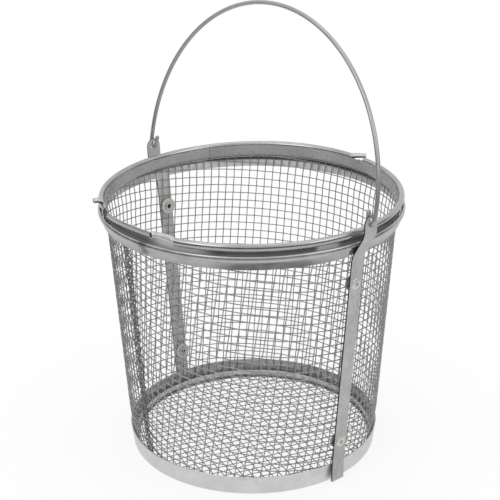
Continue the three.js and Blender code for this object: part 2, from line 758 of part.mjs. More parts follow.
const { back, front, side: lone } = COLLAR_ENDS;
const frontCollar = join([collarBand(front, back), rolledEdge(FRONT_ROLL, FRONT_LUG, null)]);
const rearCollar = join([collarBand(back, lone + 360), rolledEdge(REAR_ROLL, BACK_LUG, SIDE_LUG)]);
addPiece(basket, 'rim_collar_front', frontCollar, zincSheet());
addPiece(basket, 'rim_collar_rear', rearCollar, zincSheet());
addPiece(basket, 'rim_collar_short', hemmedLength(lone, front), zincSheet());
addPiece(basket, 'rim_skirt', skirtSolid(), zincSheet());
for (let panel = 0; panel < NET_PANELS; panel += 1) {
  addPiece(basket, `wall_mesh_panel_${panel + 1}`, wallPanel(panel), zincWire());
}
addPiece(basket, 'floor_mesh', floorNet(), zincWire());
addPiece(basket, 'base_band', baseBand(), zincSheet());
addPiece(basket, 'base_clamp_hoop', clampHoop(), zincSheet());

// Each strap leans a little about its eye, and carries its rivets and washers with it
for (const [side, turn] of [['right', 0], ['left', Math.PI]]) {
  const facing = new THREE.Group();
  facing.rotation.z = turn + radians(STRAP_TURN[side]);
  basket.add(facing);
  const leaning = new THREE.Group();
  leaning.position.z = hingeHeight;
  leaning.rotation.x = -radians(STRAP_LEAN);
  facing.add(leaning);
  addPiece(leaning, `strap_${side}`, strapSolid(), strapSteel());
  for (const [place, line] of rivetLines) {
    addPiece(leaning, `rivet_${side}_${place}`, rivetSolid(line), rivetMetal());
    addPiece(leaning, `mandrel_${side}_${place}`, mandrelSolid(line), mandrelSteel());
    addPiece(leaning, `washer_${side}_${place}`, washerSolid(line), washerMetal());
  }
}

// The bail hangs on the line through both eyes
const eyePlace = (turn) => new THREE.Vector2(eyeRadius, 0).rotateAround(new THREE.Vector2(), radians(turn));
const rightEye = eyePlace(STRAP_TURN.right);
const leftEye = eyePlace(180 + STRAP_TURN.left);
const hingeSkew = Math.atan2(rightEye.y - leftEye.y, rightEye.x - leftEye.x);
const swing = new THREE.Group();
swing.position.set((rightEye.x + leftEye.x) / 2, (rightEye.y + leftEye.y) / 2, hingeHeight);
swing.rotation.set(-radians(BAIL_LEAN), 0, hingeSkew, 'ZYX');
basket.add(swing);
addPiece(swing, 'bail', planarWire(bailPath(), BAIL_WIRE), bailWire());

export default basket;
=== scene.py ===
# %% [markdown]
# # A galvanised parts washing basket
# The basket is woven wire cloth, held at the top between a rolled collar and a rolled skirt,
# and at the bottom between a flanged band and a clamp hoop. Two riveted straps carry a wire bail.
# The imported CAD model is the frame: it gives the places and the moving bodies. Its net is coarse
# and its sheets are plain, so this lesson rebuilds every piece finely and lets it stand for the solid.

# %% Load the frame
import json
import math

import bpy
import numpy as np
from mathutils import Matrix, Vector


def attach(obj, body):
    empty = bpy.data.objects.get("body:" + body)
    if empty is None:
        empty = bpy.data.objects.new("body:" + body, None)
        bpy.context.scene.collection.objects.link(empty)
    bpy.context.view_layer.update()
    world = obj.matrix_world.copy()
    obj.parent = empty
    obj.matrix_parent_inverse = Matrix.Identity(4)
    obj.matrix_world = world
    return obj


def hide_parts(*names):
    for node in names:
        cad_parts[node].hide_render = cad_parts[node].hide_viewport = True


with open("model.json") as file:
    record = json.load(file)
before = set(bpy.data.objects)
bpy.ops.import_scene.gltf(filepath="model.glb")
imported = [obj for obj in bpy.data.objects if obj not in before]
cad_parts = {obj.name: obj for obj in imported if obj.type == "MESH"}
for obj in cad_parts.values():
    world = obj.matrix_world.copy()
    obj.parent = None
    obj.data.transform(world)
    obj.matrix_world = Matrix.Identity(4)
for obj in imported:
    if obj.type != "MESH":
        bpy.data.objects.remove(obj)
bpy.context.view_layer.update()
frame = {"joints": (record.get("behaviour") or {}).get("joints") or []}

MM = 0.001

# %% [markdown]
# ## Camera
# The viewing angle could be guessed and nudged by eye. It was instead solved from the round rims
# and the strap, which gives a long lens a little above the rim. The picture is square, so a sensor
# width and a lens are all that the field of view needs, and the shift is a fraction of the width.

# %% Camera
CAMERA_PLACE = Vector((0.69373, -0.63570, 0.53297))
CAMERA_AIM = Vector((0.0, 0.0, 0.1544))
CAMERA_LENS = 96.82
CAMERA_SHIFT = -0.0039
CAMERA_ROLL = math.radians(-0.524)


def stand_camera():
    lens = bpy.data.cameras.new("basket_camera")
    lens.sensor_fit = "HORIZONTAL"
    lens.sensor_width = 36
    lens.lens = CAMERA_LENS
    lens.shift_x = CAMERA_SHIFT
    lens.clip_start = 0.05
    lens.dof.use_dof = False
    camera = bpy.data.objects.new("basket_camera", lens)
    facing = (CAMERA_AIM - CAMERA_PLACE).to_track_quat("-Z", "Y").to_matrix().to_4x4()
    camera.matrix_world = Matrix.Translation(CAMERA_PLACE) @ facing @ Matrix.Rotation(CAMERA_ROLL, 4, "Z")
    bpy.context.scene.collection.objects.link(camera)
    bpy.context.scene.camera = camera


stand_camera()
bpy.context.scene.view_settings.view_transform = "Standard"
print("camera is", round((CAMERA_PLACE - CAMERA_AIM).length, 3), "m from its aim")

# %% [markdown]
# ## Writing shaders as sums
# A node tree can be built one node and one link at a time, but a sum of three noises then takes
# twenty lines. Here a small class wraps a socket and overloads the operators, so that an expression
# adds its own Math nodes. Every other node comes from one method, which sets the node's settings
# first and then its sockets.


# %% Sockets that can be added and multiplied
class Flow:
    """A value in a node tree."""

    def __init__(self, finish, socket):
        self.finish = finish
        self.socket = socket

    def worked(self, operation, first, second):
        return self.finish.math(operation, first, second)

    def __add__(self, other):
        return self.worked("ADD", self, other)

    def __radd__(self, other):
        return self.worked("ADD", other, self)

    def __sub__(self, other):
        return self.worked("SUBTRACT", self, other)

    def __rsub__(self, other):
        return self.worked("SUBTRACT", other, self)

    def __mul__(self, other):
        return self.worked("MULTIPLY", self, other)

    def __rmul__(self, other):
        return self.worked("MULTIPLY", other, self)

    def __truediv__(self, other):
        return self.worked("DIVIDE", self, other)

    def __rtruediv__(self, other):
        return self.worked("DIVIDE", other, self)


class Finish:
    """A node tree that is being filled in, a material's or the world's."""

    def __init__(self, owner):
        owner.use_nodes = True
        self.tree = owner.node_tree
        self.tree.nodes.clear()

    def node(self, kind, settings=None, sockets=None, out=0):
        made = self.tree.nodes.new(kind)
        for key, value in (settings or {}).items():
            setattr(made, key, value)
        for key, value in (sockets or {}).items():
            if isinstance(value, Flow):
                self.tree.links.new(value.socket, made.inputs[key])
            else:
                made.inputs[key].default_value = value
        return Flow(self, made.outputs[out]) if made.outputs else made

    def mix(self, first, second, share):
        """Two colours mixed. A Mix node's sockets share their names, so they are found by number."""
        settings = {"data_type": "RGBA", "blend_type": "MIX", "clamp_factor": True}
        return self.node("ShaderNodeMix", settings, {0: share, 6: first, 7: second}, out=2)

    def math(self, operation, *values):
        return self.node("ShaderNodeMath", {"operation": operation}, dict(enumerate(values)))

    def between(self, value, low, high):
        settings = {"interpolation_type": "SMOOTHSTEP"}
        return self.node("ShaderNodeMapRange", settings, {"Value": value, "From Min": low, "From Max": high})

    def noise(self, place, scale, detail, roughness=0.55, distortion=0.0):
        sockets = {
            "Vector": place, "Scale": scale, "Detail": detail,
            "Roughness": roughness, "Distortion": distortion,
        }
        return self.node("ShaderNodeTexNoise", {}, sockets)

    def stretched(self, place, scale):
        return self.node("ShaderNodeVectorMath", {"operation": "MULTIPLY"}, {0: place, 1: scale})


print("socket arithmetic is ready")

# %% [markdown]
# ## Light
# A white cut-out picture could be had by flooding the object with light, but pale metal would then
# clip. Instead the world is white only where the camera, a reflection or a transmission looks at it,
# and gives plain daylight to everything else. Three soft lamps add direction: a key from the front
# left, a fill from the right and a long strip above, whose reflection draws the rolled edges.
# In an all-white room bright metal has nothing dark to mirror and looks like paper, so a dark card is
# curved round the front of the basket, below the lens, as in a studio. Only reflections see it.

# %% World and lamps
AMBIENT = 0.85
WHITE = (1, 1, 1, 1)
LAMPS = {
    "key_lamp": {"place": (0.2, -1.5, 1.3), "aim": (0, 0, 0.12), "size": (0.9, 0.9), "power": 5},
    "fill_lamp": {"place": (1.5, 0.3, 0.9), "aim": (0, 0, 0.12), "size": (0.7, 0.9), "power": 3},
    "top_strip": {"place": (-0.1, 0.1, 1.5), "aim": (0, 0, 0.1), "size": (1.2, 0.5), "power": 2.5},
}


def seen_rays(finish):
    """1 where the camera, a reflection or a transmission looks, 0 for the rays that carry light."""
    rays = finish.node("ShaderNodeLightPath").socket.node.outputs
    seen = Flow(finish, rays["Is Camera Ray"]) + Flow(finish, rays["Is Glossy Ray"])
    return seen + Flow(finish, rays["Is Transmission Ray"])


def light_world():
    world = bpy.data.worlds.new("white_studio")
    bpy.context.scene.world = world
    sky = Finish(world)
    plain = sky.node("ShaderNodeBackground", {}, {"Color": WHITE, "Strength": AMBIENT})
    white = sky.node("ShaderNodeBackground", {}, {"Color": WHITE, "Strength": 1.0})
    shown = sky.node("ShaderNodeMixShader", {}, {0: seen_rays(sky), 1: plain, 2: white})
    sky.node("ShaderNodeOutputWorld", {}, {"Surface": shown})
    world.cycles.sampling_method = "NONE"


def hang_lamp(name, place, aim, size, power):
    light = bpy.data.lights.new(name, "AREA")
    light.shape = "RECTANGLE"
    light.size, light.size_y = size
    light.energy = power
    lamp = bpy.data.objects.new(name, light)
    lamp.location = place
    lamp.rotation_euler = (Vector(aim) - Vector(place)).to_track_quat("-Z", "Y").to_euler()
    bpy.context.scene.collection.objects.link(lamp)


light_world()
for name, lamp in LAMPS.items():
    hang_lamp(name, **lamp)
print("ambient level", AMBIENT, "with", len(LAMPS), "lamps")

# %% Dark card
CARD_REACH = 0.75
CARD_LOW, CARD_HIGH = 0.04, 0.36
CARD_SHADE = (0.05, 0.05, 0.05, 1)
CARD_SPAN = (-165, 68)
CARD_STEPS = 24


def stand_card():
    turn = np.radians(np.linspace(*CARD_SPAN, CARD_STEPS + 1))
    ring = np.stack([np.cos(turn), np.sin(turn)], 1) * CARD_REACH
    points = [(x, y, z) for x, y in ring for z in (CARD_LOW, CARD_HIGH)]
    faces = [[2 * k, 2 * k + 2, 2 * k + 3, 2 * k + 1] for k in range(CARD_STEPS)]
    mesh = bpy.data.meshes.new("front_card")
    mesh.from_pydata(points, [], faces)
    card = bpy.data.objects.new("front_card", mesh)
    card.visible_camera = card.visible_diffuse = False
    card.visible_shadow = card.visible_transmission = False
    bpy.context.scene.collection.objects.link(card)
    paint = bpy.data.materials.new("front_card")
    coat = Finish(paint)
    grey = coat.node("ShaderNodeEmission", {}, {"Color": CARD_SHADE, "Strength": 1.0})
    coat.node("ShaderNodeOutputMaterial", {}, {"Surface": grey})
    mesh.materials.append(paint)


stand_card()
print("dark card over", CARD_SPAN[1] - CARD_SPAN[0], "degrees")

# %% [markdown]
# ## Floor
# A plane would end in a visible edge, and a lit white floor would be a little grey. The floor is a
# wide disc whose material shows part of its own shading close to the basket, which keeps the soft
# shadow there, and is plain white further off wherever the camera or a reflection looks at it.

# %% Floor
FLOOR_RADIUS = 3.0
FLOOR_STEPS = 96
FLOOR_DROP = 0.0002
FLOOR_PALE = (0.9, 0.9, 0.9, 1)
FLOOR_SHADE = 0.17
SHADOW_NEAR, SHADOW_FAR = 0.13, 0.30


def place_on_object(finish):
    return finish.node("ShaderNodeTexCoord", {}, {}, out="Object")


def lay_floor():
    turn = np.linspace(0, 2 * np.pi, FLOOR_STEPS, endpoint=False)
    edge = np.stack([np.cos(turn), np.sin(turn), np.zeros(FLOOR_STEPS)], 1) * FLOOR_RADIUS
    mesh = bpy.data.meshes.new("pale_floor")
    mesh.from_pydata(edge.tolist(), [], [list(range(FLOOR_STEPS))])
    floor = bpy.data.objects.new("pale_floor", mesh)
    floor.location.z = -FLOOR_DROP
    bpy.context.scene.collection.objects.link(floor)
    paint = bpy.data.materials.new("pale_floor")
    card = Finish(paint)
    lit = card.node("ShaderNodeBsdfDiffuse", {}, {"Color": FLOOR_PALE})
    white = card.node("ShaderNodeEmission", {}, {"Color": WHITE, "Strength": 1.0})
    place = place_on_object(card)
    reach = card.node("ShaderNodeVectorMath", {"operation": "LENGTH"}, {0: place}, out="Value")
    kept = FLOOR_SHADE * (1 - card.between(reach, SHADOW_NEAR, SHADOW_FAR))
    shown = card.node("ShaderNodeMixShader", {}, {0: seen_rays(card) * (1 - kept), 1: lit, 2: white})
    card.node("ShaderNodeOutputMaterial", {}, {"Surface": shown})
    mesh.materials.append(paint)


lay_floor()
print("floor disc of", FLOOR_RADIUS, "m")

# %% [markdown]
# ## Finishes
# Zinc is never one grey. Hot dipping leaves crystals called spangle, handling leaves smudges, and
# drawing or rolling leaves fine streaks. A photograph could be wrapped round the pieces, but it would
# not survive a close look. Each finish here adds a cell pattern, three noises and a stretched noise,
# and turns their sum into colour, roughness and a shallow bump.

# %% One maker for every zinc finish
SMUDGE_SCALE, SMUDGE_TONE, SMUDGE_SHINE = 55.0, 0.9, 1.4
SPECK_SCALE, WANDER_SCALE, DRAWN_SCALE = 900.0, 260.0, 420.0
CRYSTAL_SHINE, CRYSTAL_RELIEF = 0.5, 0.4
RELIEF_DEPTH = 0.0003


def axis_of(finish, place, axis):
    return finish.node("ShaderNodeSeparateXYZ", {}, {0: place}, out=axis)


def metal_finish(name, dark, light, shine, spangle, streak, bump, extra=None, metallic=1.0, grain=0.35):
    """A metal: two tones, a roughness range, spangle (scale, amount), streak (stretch, amount)."""
    material = bpy.data.materials.new(name)
    finish = Finish(material)
    place = place_on_object(finish)
    smudge = finish.noise(place, SMUDGE_SCALE, 4.0, 0.6, 0.4)
    speck = finish.noise(place, SPECK_SCALE, 3.0, 0.6)
    wander = finish.noise(place, WANDER_SCALE, 2.0)
    cells = finish.node("ShaderNodeTexVoronoi", {}, {
        "Vector": place, "Scale": spangle[0], "Randomness": 1.0,
    }, out="Color")
    crystal = finish.node("ShaderNodeSeparateColor", {}, {0: cells})
    drawn = finish.noise(finish.stretched(place, streak[0]), DRAWN_SCALE, 4.0, 0.6)
    tone = 0.5 + (crystal - 0.5) * spangle[1] + (smudge - 0.5) * SMUDGE_TONE
    tone = tone + (drawn - 0.5) * streak[1] + (speck - 0.5) * grain
    colour = finish.mix((*dark, 1), (*light, 1), tone)
    dullness = 0.5 + (smudge - 0.5) * SMUDGE_SHINE + (crystal - 0.5) * CRYSTAL_SHINE
    rough = shine[0] + (shine[1] - shine[0]) * dullness
    if extra:
        colour, rough, metallic = extra(finish, place, colour, rough, metallic)
    height = speck * grain + drawn * streak[1] + wander * grain + crystal * spangle[1] * CRYSTAL_RELIEF
    relief = finish.node("ShaderNodeBump", {}, {
        "Strength": bump, "Distance": RELIEF_DEPTH, "Height": height,
    })
    shader = finish.node("ShaderNodeBsdfPrincipled", {}, {
        "Base Color": colour, "Roughness": rough, "Metallic": metallic, "Normal": relief,
    })
    finish.node("ShaderNodeOutputMaterial", {}, {"Surface": shader})
    return material


print("the zinc finish maker is ready")

# %% [markdown]
# The collar is smoother sheet than the rest. The channel under its roll and the crevice behind its foot
# are painted dark as shade, darkest just under the roll, and two spots in the channel are painted lighter
# as reflection. On the skirt, the inner face below the crevice is painted paler as light, and the foot of
# its flange and one patch are painted darker, as shade and as a dark reflection. The masks are worked out
# from the radius, the height and the angle round the basket. The collar's top edge is highest at one
# place and sinks on either side, and the channel sinks with it.

# %% Places on the rim
COLLAR_HIGH_ANGLE, COLLAR_HIGH_SPAN, COLLAR_SINK = 118, 95, 2.9


def reach_of(finish, place):
    across = finish.stretched(place, (1, 1, 0))
    return finish.node("ShaderNodeVectorMath", {"operation": "LENGTH"}, {0: across}, out="Value")


def round_of(finish, place):
    """The angle of a point round the basket, in radians."""
    return finish.math("ARCTAN2", axis_of(finish, place, "Y"), axis_of(finish, place, "X"))


def near_spot(finish, place, spot):
    """1 within a spot's half width of its angle and 0 past its fade, all given in degrees."""
    angle, half, fade = spot
    away = finish.math("ABSOLUTE", round_of(finish, place) - math.radians(angle))
    return 1 - finish.between(away, math.radians(half), math.radians(fade))


def sink_of(finish, place):
    """How far the collar's edge sits below its highest place, in metres."""
    away = finish.math("WRAP", round_of(finish, place) - math.radians(COLLAR_HIGH_ANGLE), math.pi, -math.pi)
    share = finish.math("MINIMUM", finish.math("ABSOLUTE", away) / math.radians(COLLAR_HIGH_SPAN), 1.0)
    return (1 - finish.math("COSINE", share * math.pi)) * (COLLAR_SINK * MM / 2)


print("the collar's edge sinks by", COLLAR_SINK, "mm")

# %% Painted shade and light on the collar and the skirt
HAIR = 0.00005
COLLAR_MIDDLE = 0.109
COLLAR_SEAM, COLLAR_SEAM_SHARE = (155.5, 0.1146, 0.2005), 0.5
CHANNEL_TOP, CHANNEL_TOP_FADE = 0.2025, 0.001
CHANNEL_REACH, CHANNEL_REACH_FADE = 0.1095, 0.0004
# The grey and near black of the channel's painted shade, laid on a rough sheet that is mostly not metal.
CHANNEL_SHADE_GREY = (0.45, 0.452, 0.45, 1)
CHANNEL_SHADE_DARK = (0.07, 0.071, 0.07, 1)
CHANNEL_ROUGH, CHANNEL_DULL = 0.2, 0.9
# The channel's painted shade is darkest, in patches, just under the roll, and fades towards the skirt.
UNDER_ROLL_SHADE_LOW, UNDER_ROLL_SHADE_HIGH = 0.1950, 0.1985
UNDER_ROLL_SHADE_LEAST, UNDER_ROLL_SHADE_PATCHY, PATCH_SCALE = 0.55, 0.6, 30.0
# Two spots round the rim where the channel is painted light grey, a painted reflection.
CHANNEL_LIT_SPOTS = ((-69, 5, 15), (-14.2, 3, 6))
CHANNEL_LIT_ZINC, CHANNEL_LIT_SHARE = (0.8, 0.802, 0.8, 1), 0.8
SKIRT_FOOT, SKIRT_HEAD = (110.4, 184.6), (111.6, 192.4)
SKIRT_SLOPE = 0.154
# The lowest band of the skirt's outer face is painted darker, as shade.
FOOT_SHADE_LOW, FOOT_SHADE_HIGH, FOOT_SHADE_SHARE = 0.1855, 0.1888, 0.15
# A patch of the skirt's flange at -84 degrees, above its lowest band, is painted dark as a reflection.
DARK_REFLECTION_SPOT, DARK_REFLECTION_SHARE = (-84, 0.6875, 2.8648), 0.6
DARK_REFLECTION_LOW, DARK_REFLECTION_HIGH = 0.184, 0.187
# The top of the skirt's inner face, under the collar's foot, is painted near black as crevice shade.
CREVICE_SHADE_LOW, CREVICE_SHADE_HIGH, CREVICE_SHADE_SHARE = 0.1892, 0.1910, 0.92
# Near black for the collar's seam line, a dark joint, and for the skirt's painted shade and painted dark
# reflection.
SEAM_AND_SHADE_DARK = (0.07, 0.072, 0.07, 1)
# The skirt's inner face below the crevice is painted paler as light, and made a little rougher.
INNER_LIT_ZINC, INNER_LIT_SHARE, INNER_ROUGH = (0.8, 0.802, 0.8, 1), 0.9, 0.15


# Painted shade in the channel under the roll, darkest just under it, with two spots painted lighter as
# reflection. The seam line on the collar's inner side is a dark joint.
def channel_shade_and_seam(finish, place, colour, rough, metallic):
    reach = reach_of(finish, place)
    height = axis_of(finish, place, "Z") + sink_of(finish, place)
    outside = finish.between(reach, COLLAR_MIDDLE - HAIR, COLLAR_MIDDLE + HAIR)
    below = 1 - finish.between(height, CHANNEL_TOP - CHANNEL_TOP_FADE, CHANNEL_TOP)
    inside_roll = 1 - finish.between(reach, CHANNEL_REACH, CHANNEL_REACH + CHANNEL_REACH_FADE)
    channel = outside * below * inside_roll
    patchy = UNDER_ROLL_SHADE_LEAST + UNDER_ROLL_SHADE_PATCHY * finish.noise(place, PATCH_SCALE, 2.0)
    channel_shade = finish.mix(CHANNEL_SHADE_GREY, CHANNEL_SHADE_DARK, finish.between(height, UNDER_ROLL_SHADE_LOW, UNDER_ROLL_SHADE_HIGH) * patchy)
    side, front = [near_spot(finish, place, spot) for spot in CHANNEL_LIT_SPOTS]
    channel_shade = finish.mix(channel_shade, CHANNEL_LIT_ZINC, (side + front) * CHANNEL_LIT_SHARE)
    seam = near_spot(finish, place, COLLAR_SEAM) * (1 - outside) * COLLAR_SEAM_SHARE
    colour = finish.mix(finish.mix(colour, channel_shade, channel), SEAM_AND_SHADE_DARK, seam)
    return colour, rough + channel * CHANNEL_ROUGH, metallic * (1 - channel * CHANNEL_DULL)


# On the skirt: painted shade in the crevice at the top of its inner face, painted light on the rest of the
# inner face, and on the outer face painted shade along the foot and one painted dark reflection.
def skirt_painted_light_and_shade(finish, place, colour, rough, metallic):
    height = axis_of(finish, place, "Z")
    middle = SKIRT_FOOT[0] * MM + (height - SKIRT_FOOT[1] * MM) * SKIRT_SLOPE
    inner = 1 - finish.between(reach_of(finish, place) - middle, -HAIR, HAIR)
    crevice_shade = finish.between(height, CREVICE_SHADE_LOW, CREVICE_SHADE_HIGH)
    dark_reflection = near_spot(finish, place, DARK_REFLECTION_SPOT) * finish.between(height, DARK_REFLECTION_LOW, DARK_REFLECTION_HIGH) * DARK_REFLECTION_SHARE
    foot_shade = (1 - finish.between(height, FOOT_SHADE_LOW, FOOT_SHADE_HIGH)) * FOOT_SHADE_SHARE
    colour = finish.mix(colour, SEAM_AND_SHADE_DARK, (1 - inner) * finish.math("MAXIMUM", foot_shade, dark_reflection))
    inner_lit = finish.mix(colour, INNER_LIT_ZINC, inner * (1 - crevice_shade) * INNER_LIT_SHARE)
    return finish.mix(inner_lit, SEAM_AND_SHADE_DARK, inner * crevice_shade * CREVICE_SHADE_SHARE), rough + inner * INNER_ROUGH, metallic


# The channel's painted shade reaches up to CHANNEL_TOP.
print("dirt reaches up to", CHANNEL_TOP / MM, "mm in the channel")

# %% Sheet finishes
# The collar's and the skirt's finishes carry the painted shade and light worked out above.
collar_zinc = metal_finish(
    "collar_zinc", (0.28, 0.284, 0.282), (0.49, 0.494, 0.49), (0.2, 0.32), (150.0, 0.04),
    ((1, 1, 9), 0.15), 0.012, extra=channel_shade_and_seam, grain=0.08,
)
skirt_zinc = metal_finish(
    "skirt_zinc", (0.27, 0.274, 0.272), (0.6, 0.605, 0.6), (0.28, 0.42), (170.0, 0.12),
    ((1, 1, 7), 0.3), 0.15, extra=skirt_painted_light_and_shade,
)
band_zinc = metal_finish(
    "band_zinc", (0.52, 0.525, 0.523), (0.75, 0.752, 0.745), (0.38, 0.52), (150.0, 0.3),
    ((1, 1, 0.3), 0.3), 0.2,
)
# A dark copy of the skirt's finish for its lapped inner end: painted shade behind the strap.
shaded_lap_zinc = metal_finish(
    "shaded_lap_zinc", (0.08, 0.081, 0.08), (0.16, 0.161, 0.16), (0.5, 0.6), (170.0, 0.15),
    ((1, 1, 7), 0.35), 0.15, metallic=0.3,
)
lug_zinc = metal_finish(
    "lug_zinc", (0.36, 0.364, 0.362), (0.58, 0.584, 0.58), (0.26, 0.38), (170.0, 0.1),
    ((1, 1, 7), 0.2), 0.08, metallic=0.65,
)
# Near black for the plugs sunk in the lugs' mouths: painted shade inside the open tubes.
mouth_shade_black = metal_finish(
    "mouth_shade_black", (0.012, 0.012, 0.012), (0.03, 0.03, 0.03), (0.6, 0.8), (170.0, 0.1),
    ((1, 1, 1), 0.2), 0.1, metallic=0.0,
)
print("sheet finishes:", collar_zinc.name, skirt_zinc.name, band_zinc.name)

# %% [markdown]
# Wire, strap, rivet and bail finishes come from the same maker, with their own tones and shine.
# The wire is dull, and its tones are painted darker than bare zinc, as shade. The strap is matt, with
# streaks along its length, an inner face painted paler as light, and sheared side faces painted near
# black as shade. The rivets are aluminium, with a warm stain on the pin, whose inner end is painted
# black in its cup as shade.

# %% Painted shade on the strap's edges and in the rivet cups, painted light on the strap's inner face
# The strap's sheared side faces and the wall of its eye are painted near black and not metallic, as shade.
EDGE_SHADE_BLACK = (0.015, 0.015, 0.015, 1)
EDGE_TURNED, EDGE_FACING = 0.35, 0.6
# The strap's inner face, turned towards the basket's middle, is painted paler as light.
INNER_FACE_LIGHT, INNER_FACE_LIGHT_SHARE = (0.85, 0.852, 0.845, 1), 0.42
INWARDS, OUTWARDS = -0.02, 0.02
# The pin's inner end, sunk in the rivet's cup, is painted near black as shade.
CUP_SHADE_BLACK = (0.012, 0.012, 0.012, 1)
CUP_HEIGHT, CUP_SLOPE = 0.033, 0.0703
CUP_END, CUP_MOUTH = 0.0972, 0.0985
BARE_ROUGH = 0.1


# Painted shade: faces not turned along X, the strap's side faces and eye wall, go near black. Painted light:
# faces turned towards the basket's middle are mixed paler.
def strap_edge_shade_and_inner_light(finish, place, colour, rough, metallic):
    facing = finish.node("ShaderNodeNewGeometry", {}, {}, out="True Normal")
    sideways = finish.math("ABSOLUTE", axis_of(finish, facing, "X"))
    edge = 1 - finish.between(sideways, EDGE_TURNED, EDGE_FACING)
    across = finish.stretched(place, (1, 1, 0))
    sockets = {0: facing, 1: across}
    away = finish.node("ShaderNodeVectorMath", {"operation": "DOT_PRODUCT"}, sockets, out="Value")
    colour = finish.mix(colour, INNER_FACE_LIGHT, (1 - finish.between(away, INWARDS, OUTWARDS)) * INNER_FACE_LIGHT_SHARE)
    return finish.mix(colour, EDGE_SHADE_BLACK, edge), rough + edge * BARE_ROUGH, metallic * (1 - edge)


# Painted shade: the part of the pin inside the cup's mouth goes near black and not metallic.
def cup_shade(finish, place, colour, rough, metallic):
    upright = reach_of(finish, place) - (axis_of(finish, place, "Z") - CUP_HEIGHT) * CUP_SLOPE
    inner = 1 - finish.between(upright, CUP_END, CUP_MOUTH)
    return finish.mix(colour, CUP_SHADE_BLACK, inner), rough + inner * BARE_ROUGH, metallic * (1 - inner)


print("masks for sheared edges and rivet cups are ready")

# %% Wire, strap, rivet and bail finishes
# The wall wire's tones are painted darker than bare zinc, as shade.
shaded_wire_zinc = metal_finish(
    "shaded_wire_zinc", (0.24, 0.243, 0.242), (0.42, 0.423, 0.422), (0.3, 0.48), (260.0, 0.3),
    ((1, 1, 1), 0.3), 0.15,
)
floor_wire_zinc = metal_finish(
    "floor_wire_zinc", (0.12, 0.122, 0.121), (0.23, 0.232, 0.231), (0.3, 0.48), (260.0, 0.3),
    ((1, 1, 1), 0.3), 0.15,
)
# The strap's finish carries the painted shade on its edges and the painted light on its inner face.
strap_zinc = metal_finish(
    "strap_zinc", (0.26, 0.262, 0.258), (0.56, 0.562, 0.557), (0.45, 0.6), (190.0, 0.2),
    ((6, 6, 0.5), 0.4), 0.35, extra=strap_edge_shade_and_inner_light, metallic=0.35, grain=1.0,
)
rivet_aluminium = metal_finish(
    "rivet_aluminium", (0.5, 0.485, 0.465), (0.68, 0.665, 0.64), (0.35, 0.5), (500.0, 0.12),
    ((1, 1, 1), 0.2), 0.12, metallic=0.7,
)
# The pin's finish carries the painted shade in the rivet's cup.
mandrel_steel = metal_finish(
    "mandrel_steel", (0.3, 0.25, 0.215), (0.45, 0.39, 0.345), (0.4, 0.6), (700.0, 0.2),
    ((1, 1, 1), 0.2), 0.2, extra=cup_shade, metallic=0.7,
)
washer_zinc = metal_finish(
    "washer_zinc", (0.5, 0.485, 0.45), (0.7, 0.685, 0.64), (0.35, 0.5), (300.0, 0.15),
    ((1, 1, 1), 0.2), 0.15, metallic=0.6,
)
bail_zinc = metal_finish(
    "bail_zinc", (0.28, 0.282, 0.282), (0.44, 0.442, 0.44), (0.22, 0.34), (300.0, 0.05),
    ((4, 4, 0.5), 0.1), 0.05, metallic=0.6, grain=0.1,
)
print("wire finishes:", shaded_wire_zinc.name, bail_zinc.name)

# %% [markdown]
# ## From points to a piece
# Blender's own primitives are too plain for this work, so pieces are written as points and faces in
# millimetres. One helper turns them into an object, gives it its finish, and tells the frame which
# body it rides on and which solid it stands for.


# %% Making a piece
def add_piece(name, points, faces, material, slot, stands_for=(), body="basket", crease=35.0):
    mesh = bpy.data.meshes.new(name)
    mesh.from_pydata((np.asarray(points, float) * MM).tolist(), [], faces)
    mesh.polygons.foreach_set("use_smooth", np.ones(len(mesh.polygons), bool))
    mesh.set_sharp_from_angle(angle=math.radians(crease))
    mesh.materials.append(material)
    piece = bpy.data.objects.new(name, mesh)
    bpy.context.scene.collection.objects.link(piece)
    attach(piece, body)
    if stands_for:
        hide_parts(*stands_for)
    return piece


def joined(shells):
    """Points and faces of several shells as one list of each."""
    points = []
    faces = []
    for shell_points, shell_faces in shells:
        start = sum(len(part) for part in points)
        points.append(np.asarray(shell_points, float))
        faces.extend([corner + start for corner in face] for face in shell_faces)
    return np.concatenate(points), faces


print("pieces are made in millimetres")

# %% [markdown]
# ## The wall cloth
# The wall is one sheet of square wire cloth, cut as a fan and wrapped to a cone. That is why the
# wires are upright on one side of the basket and lean on the other. A texture with holes could fake
# it, but the edges would have no depth. Each wire is a tube instead: its line is straight in the flat
# fan, the fan is rolled up, and a cosine lifts it over and under the wires it crosses.

# %% The flat fan and the cone
CONE_SINE = 0.06953
WALL_FOOT = 95.52
WALL_RISE = 0.0697
FAN_MIDDLE = 76.5
FAN_FROM, FAN_TO = -188.0, 177.0
TUCK_FROM, TUCK_SPAN, TUCK = 12, 8, 1.2
LIFT_FROM, LIFT_SPAN, LIFT = 14, 9, 0.5
CLOTH_PITCH = 6.354
CLOTH_WIRE = 0.82
CLOTH_LOW, CLOTH_HIGH = 4.0, 193.2
CLOTH_LINE = np.array([(4, 93.3), (15, 94.6), (30, 96.6), (175, 106.72), (185, 108.5), (193.2, 110.05)])
SHORTEST_RUN = 3


def cloth_radius(height):
    """How far out the cloth's middle lies at a height."""
    return np.interp(height, *CLOTH_LINE.T)


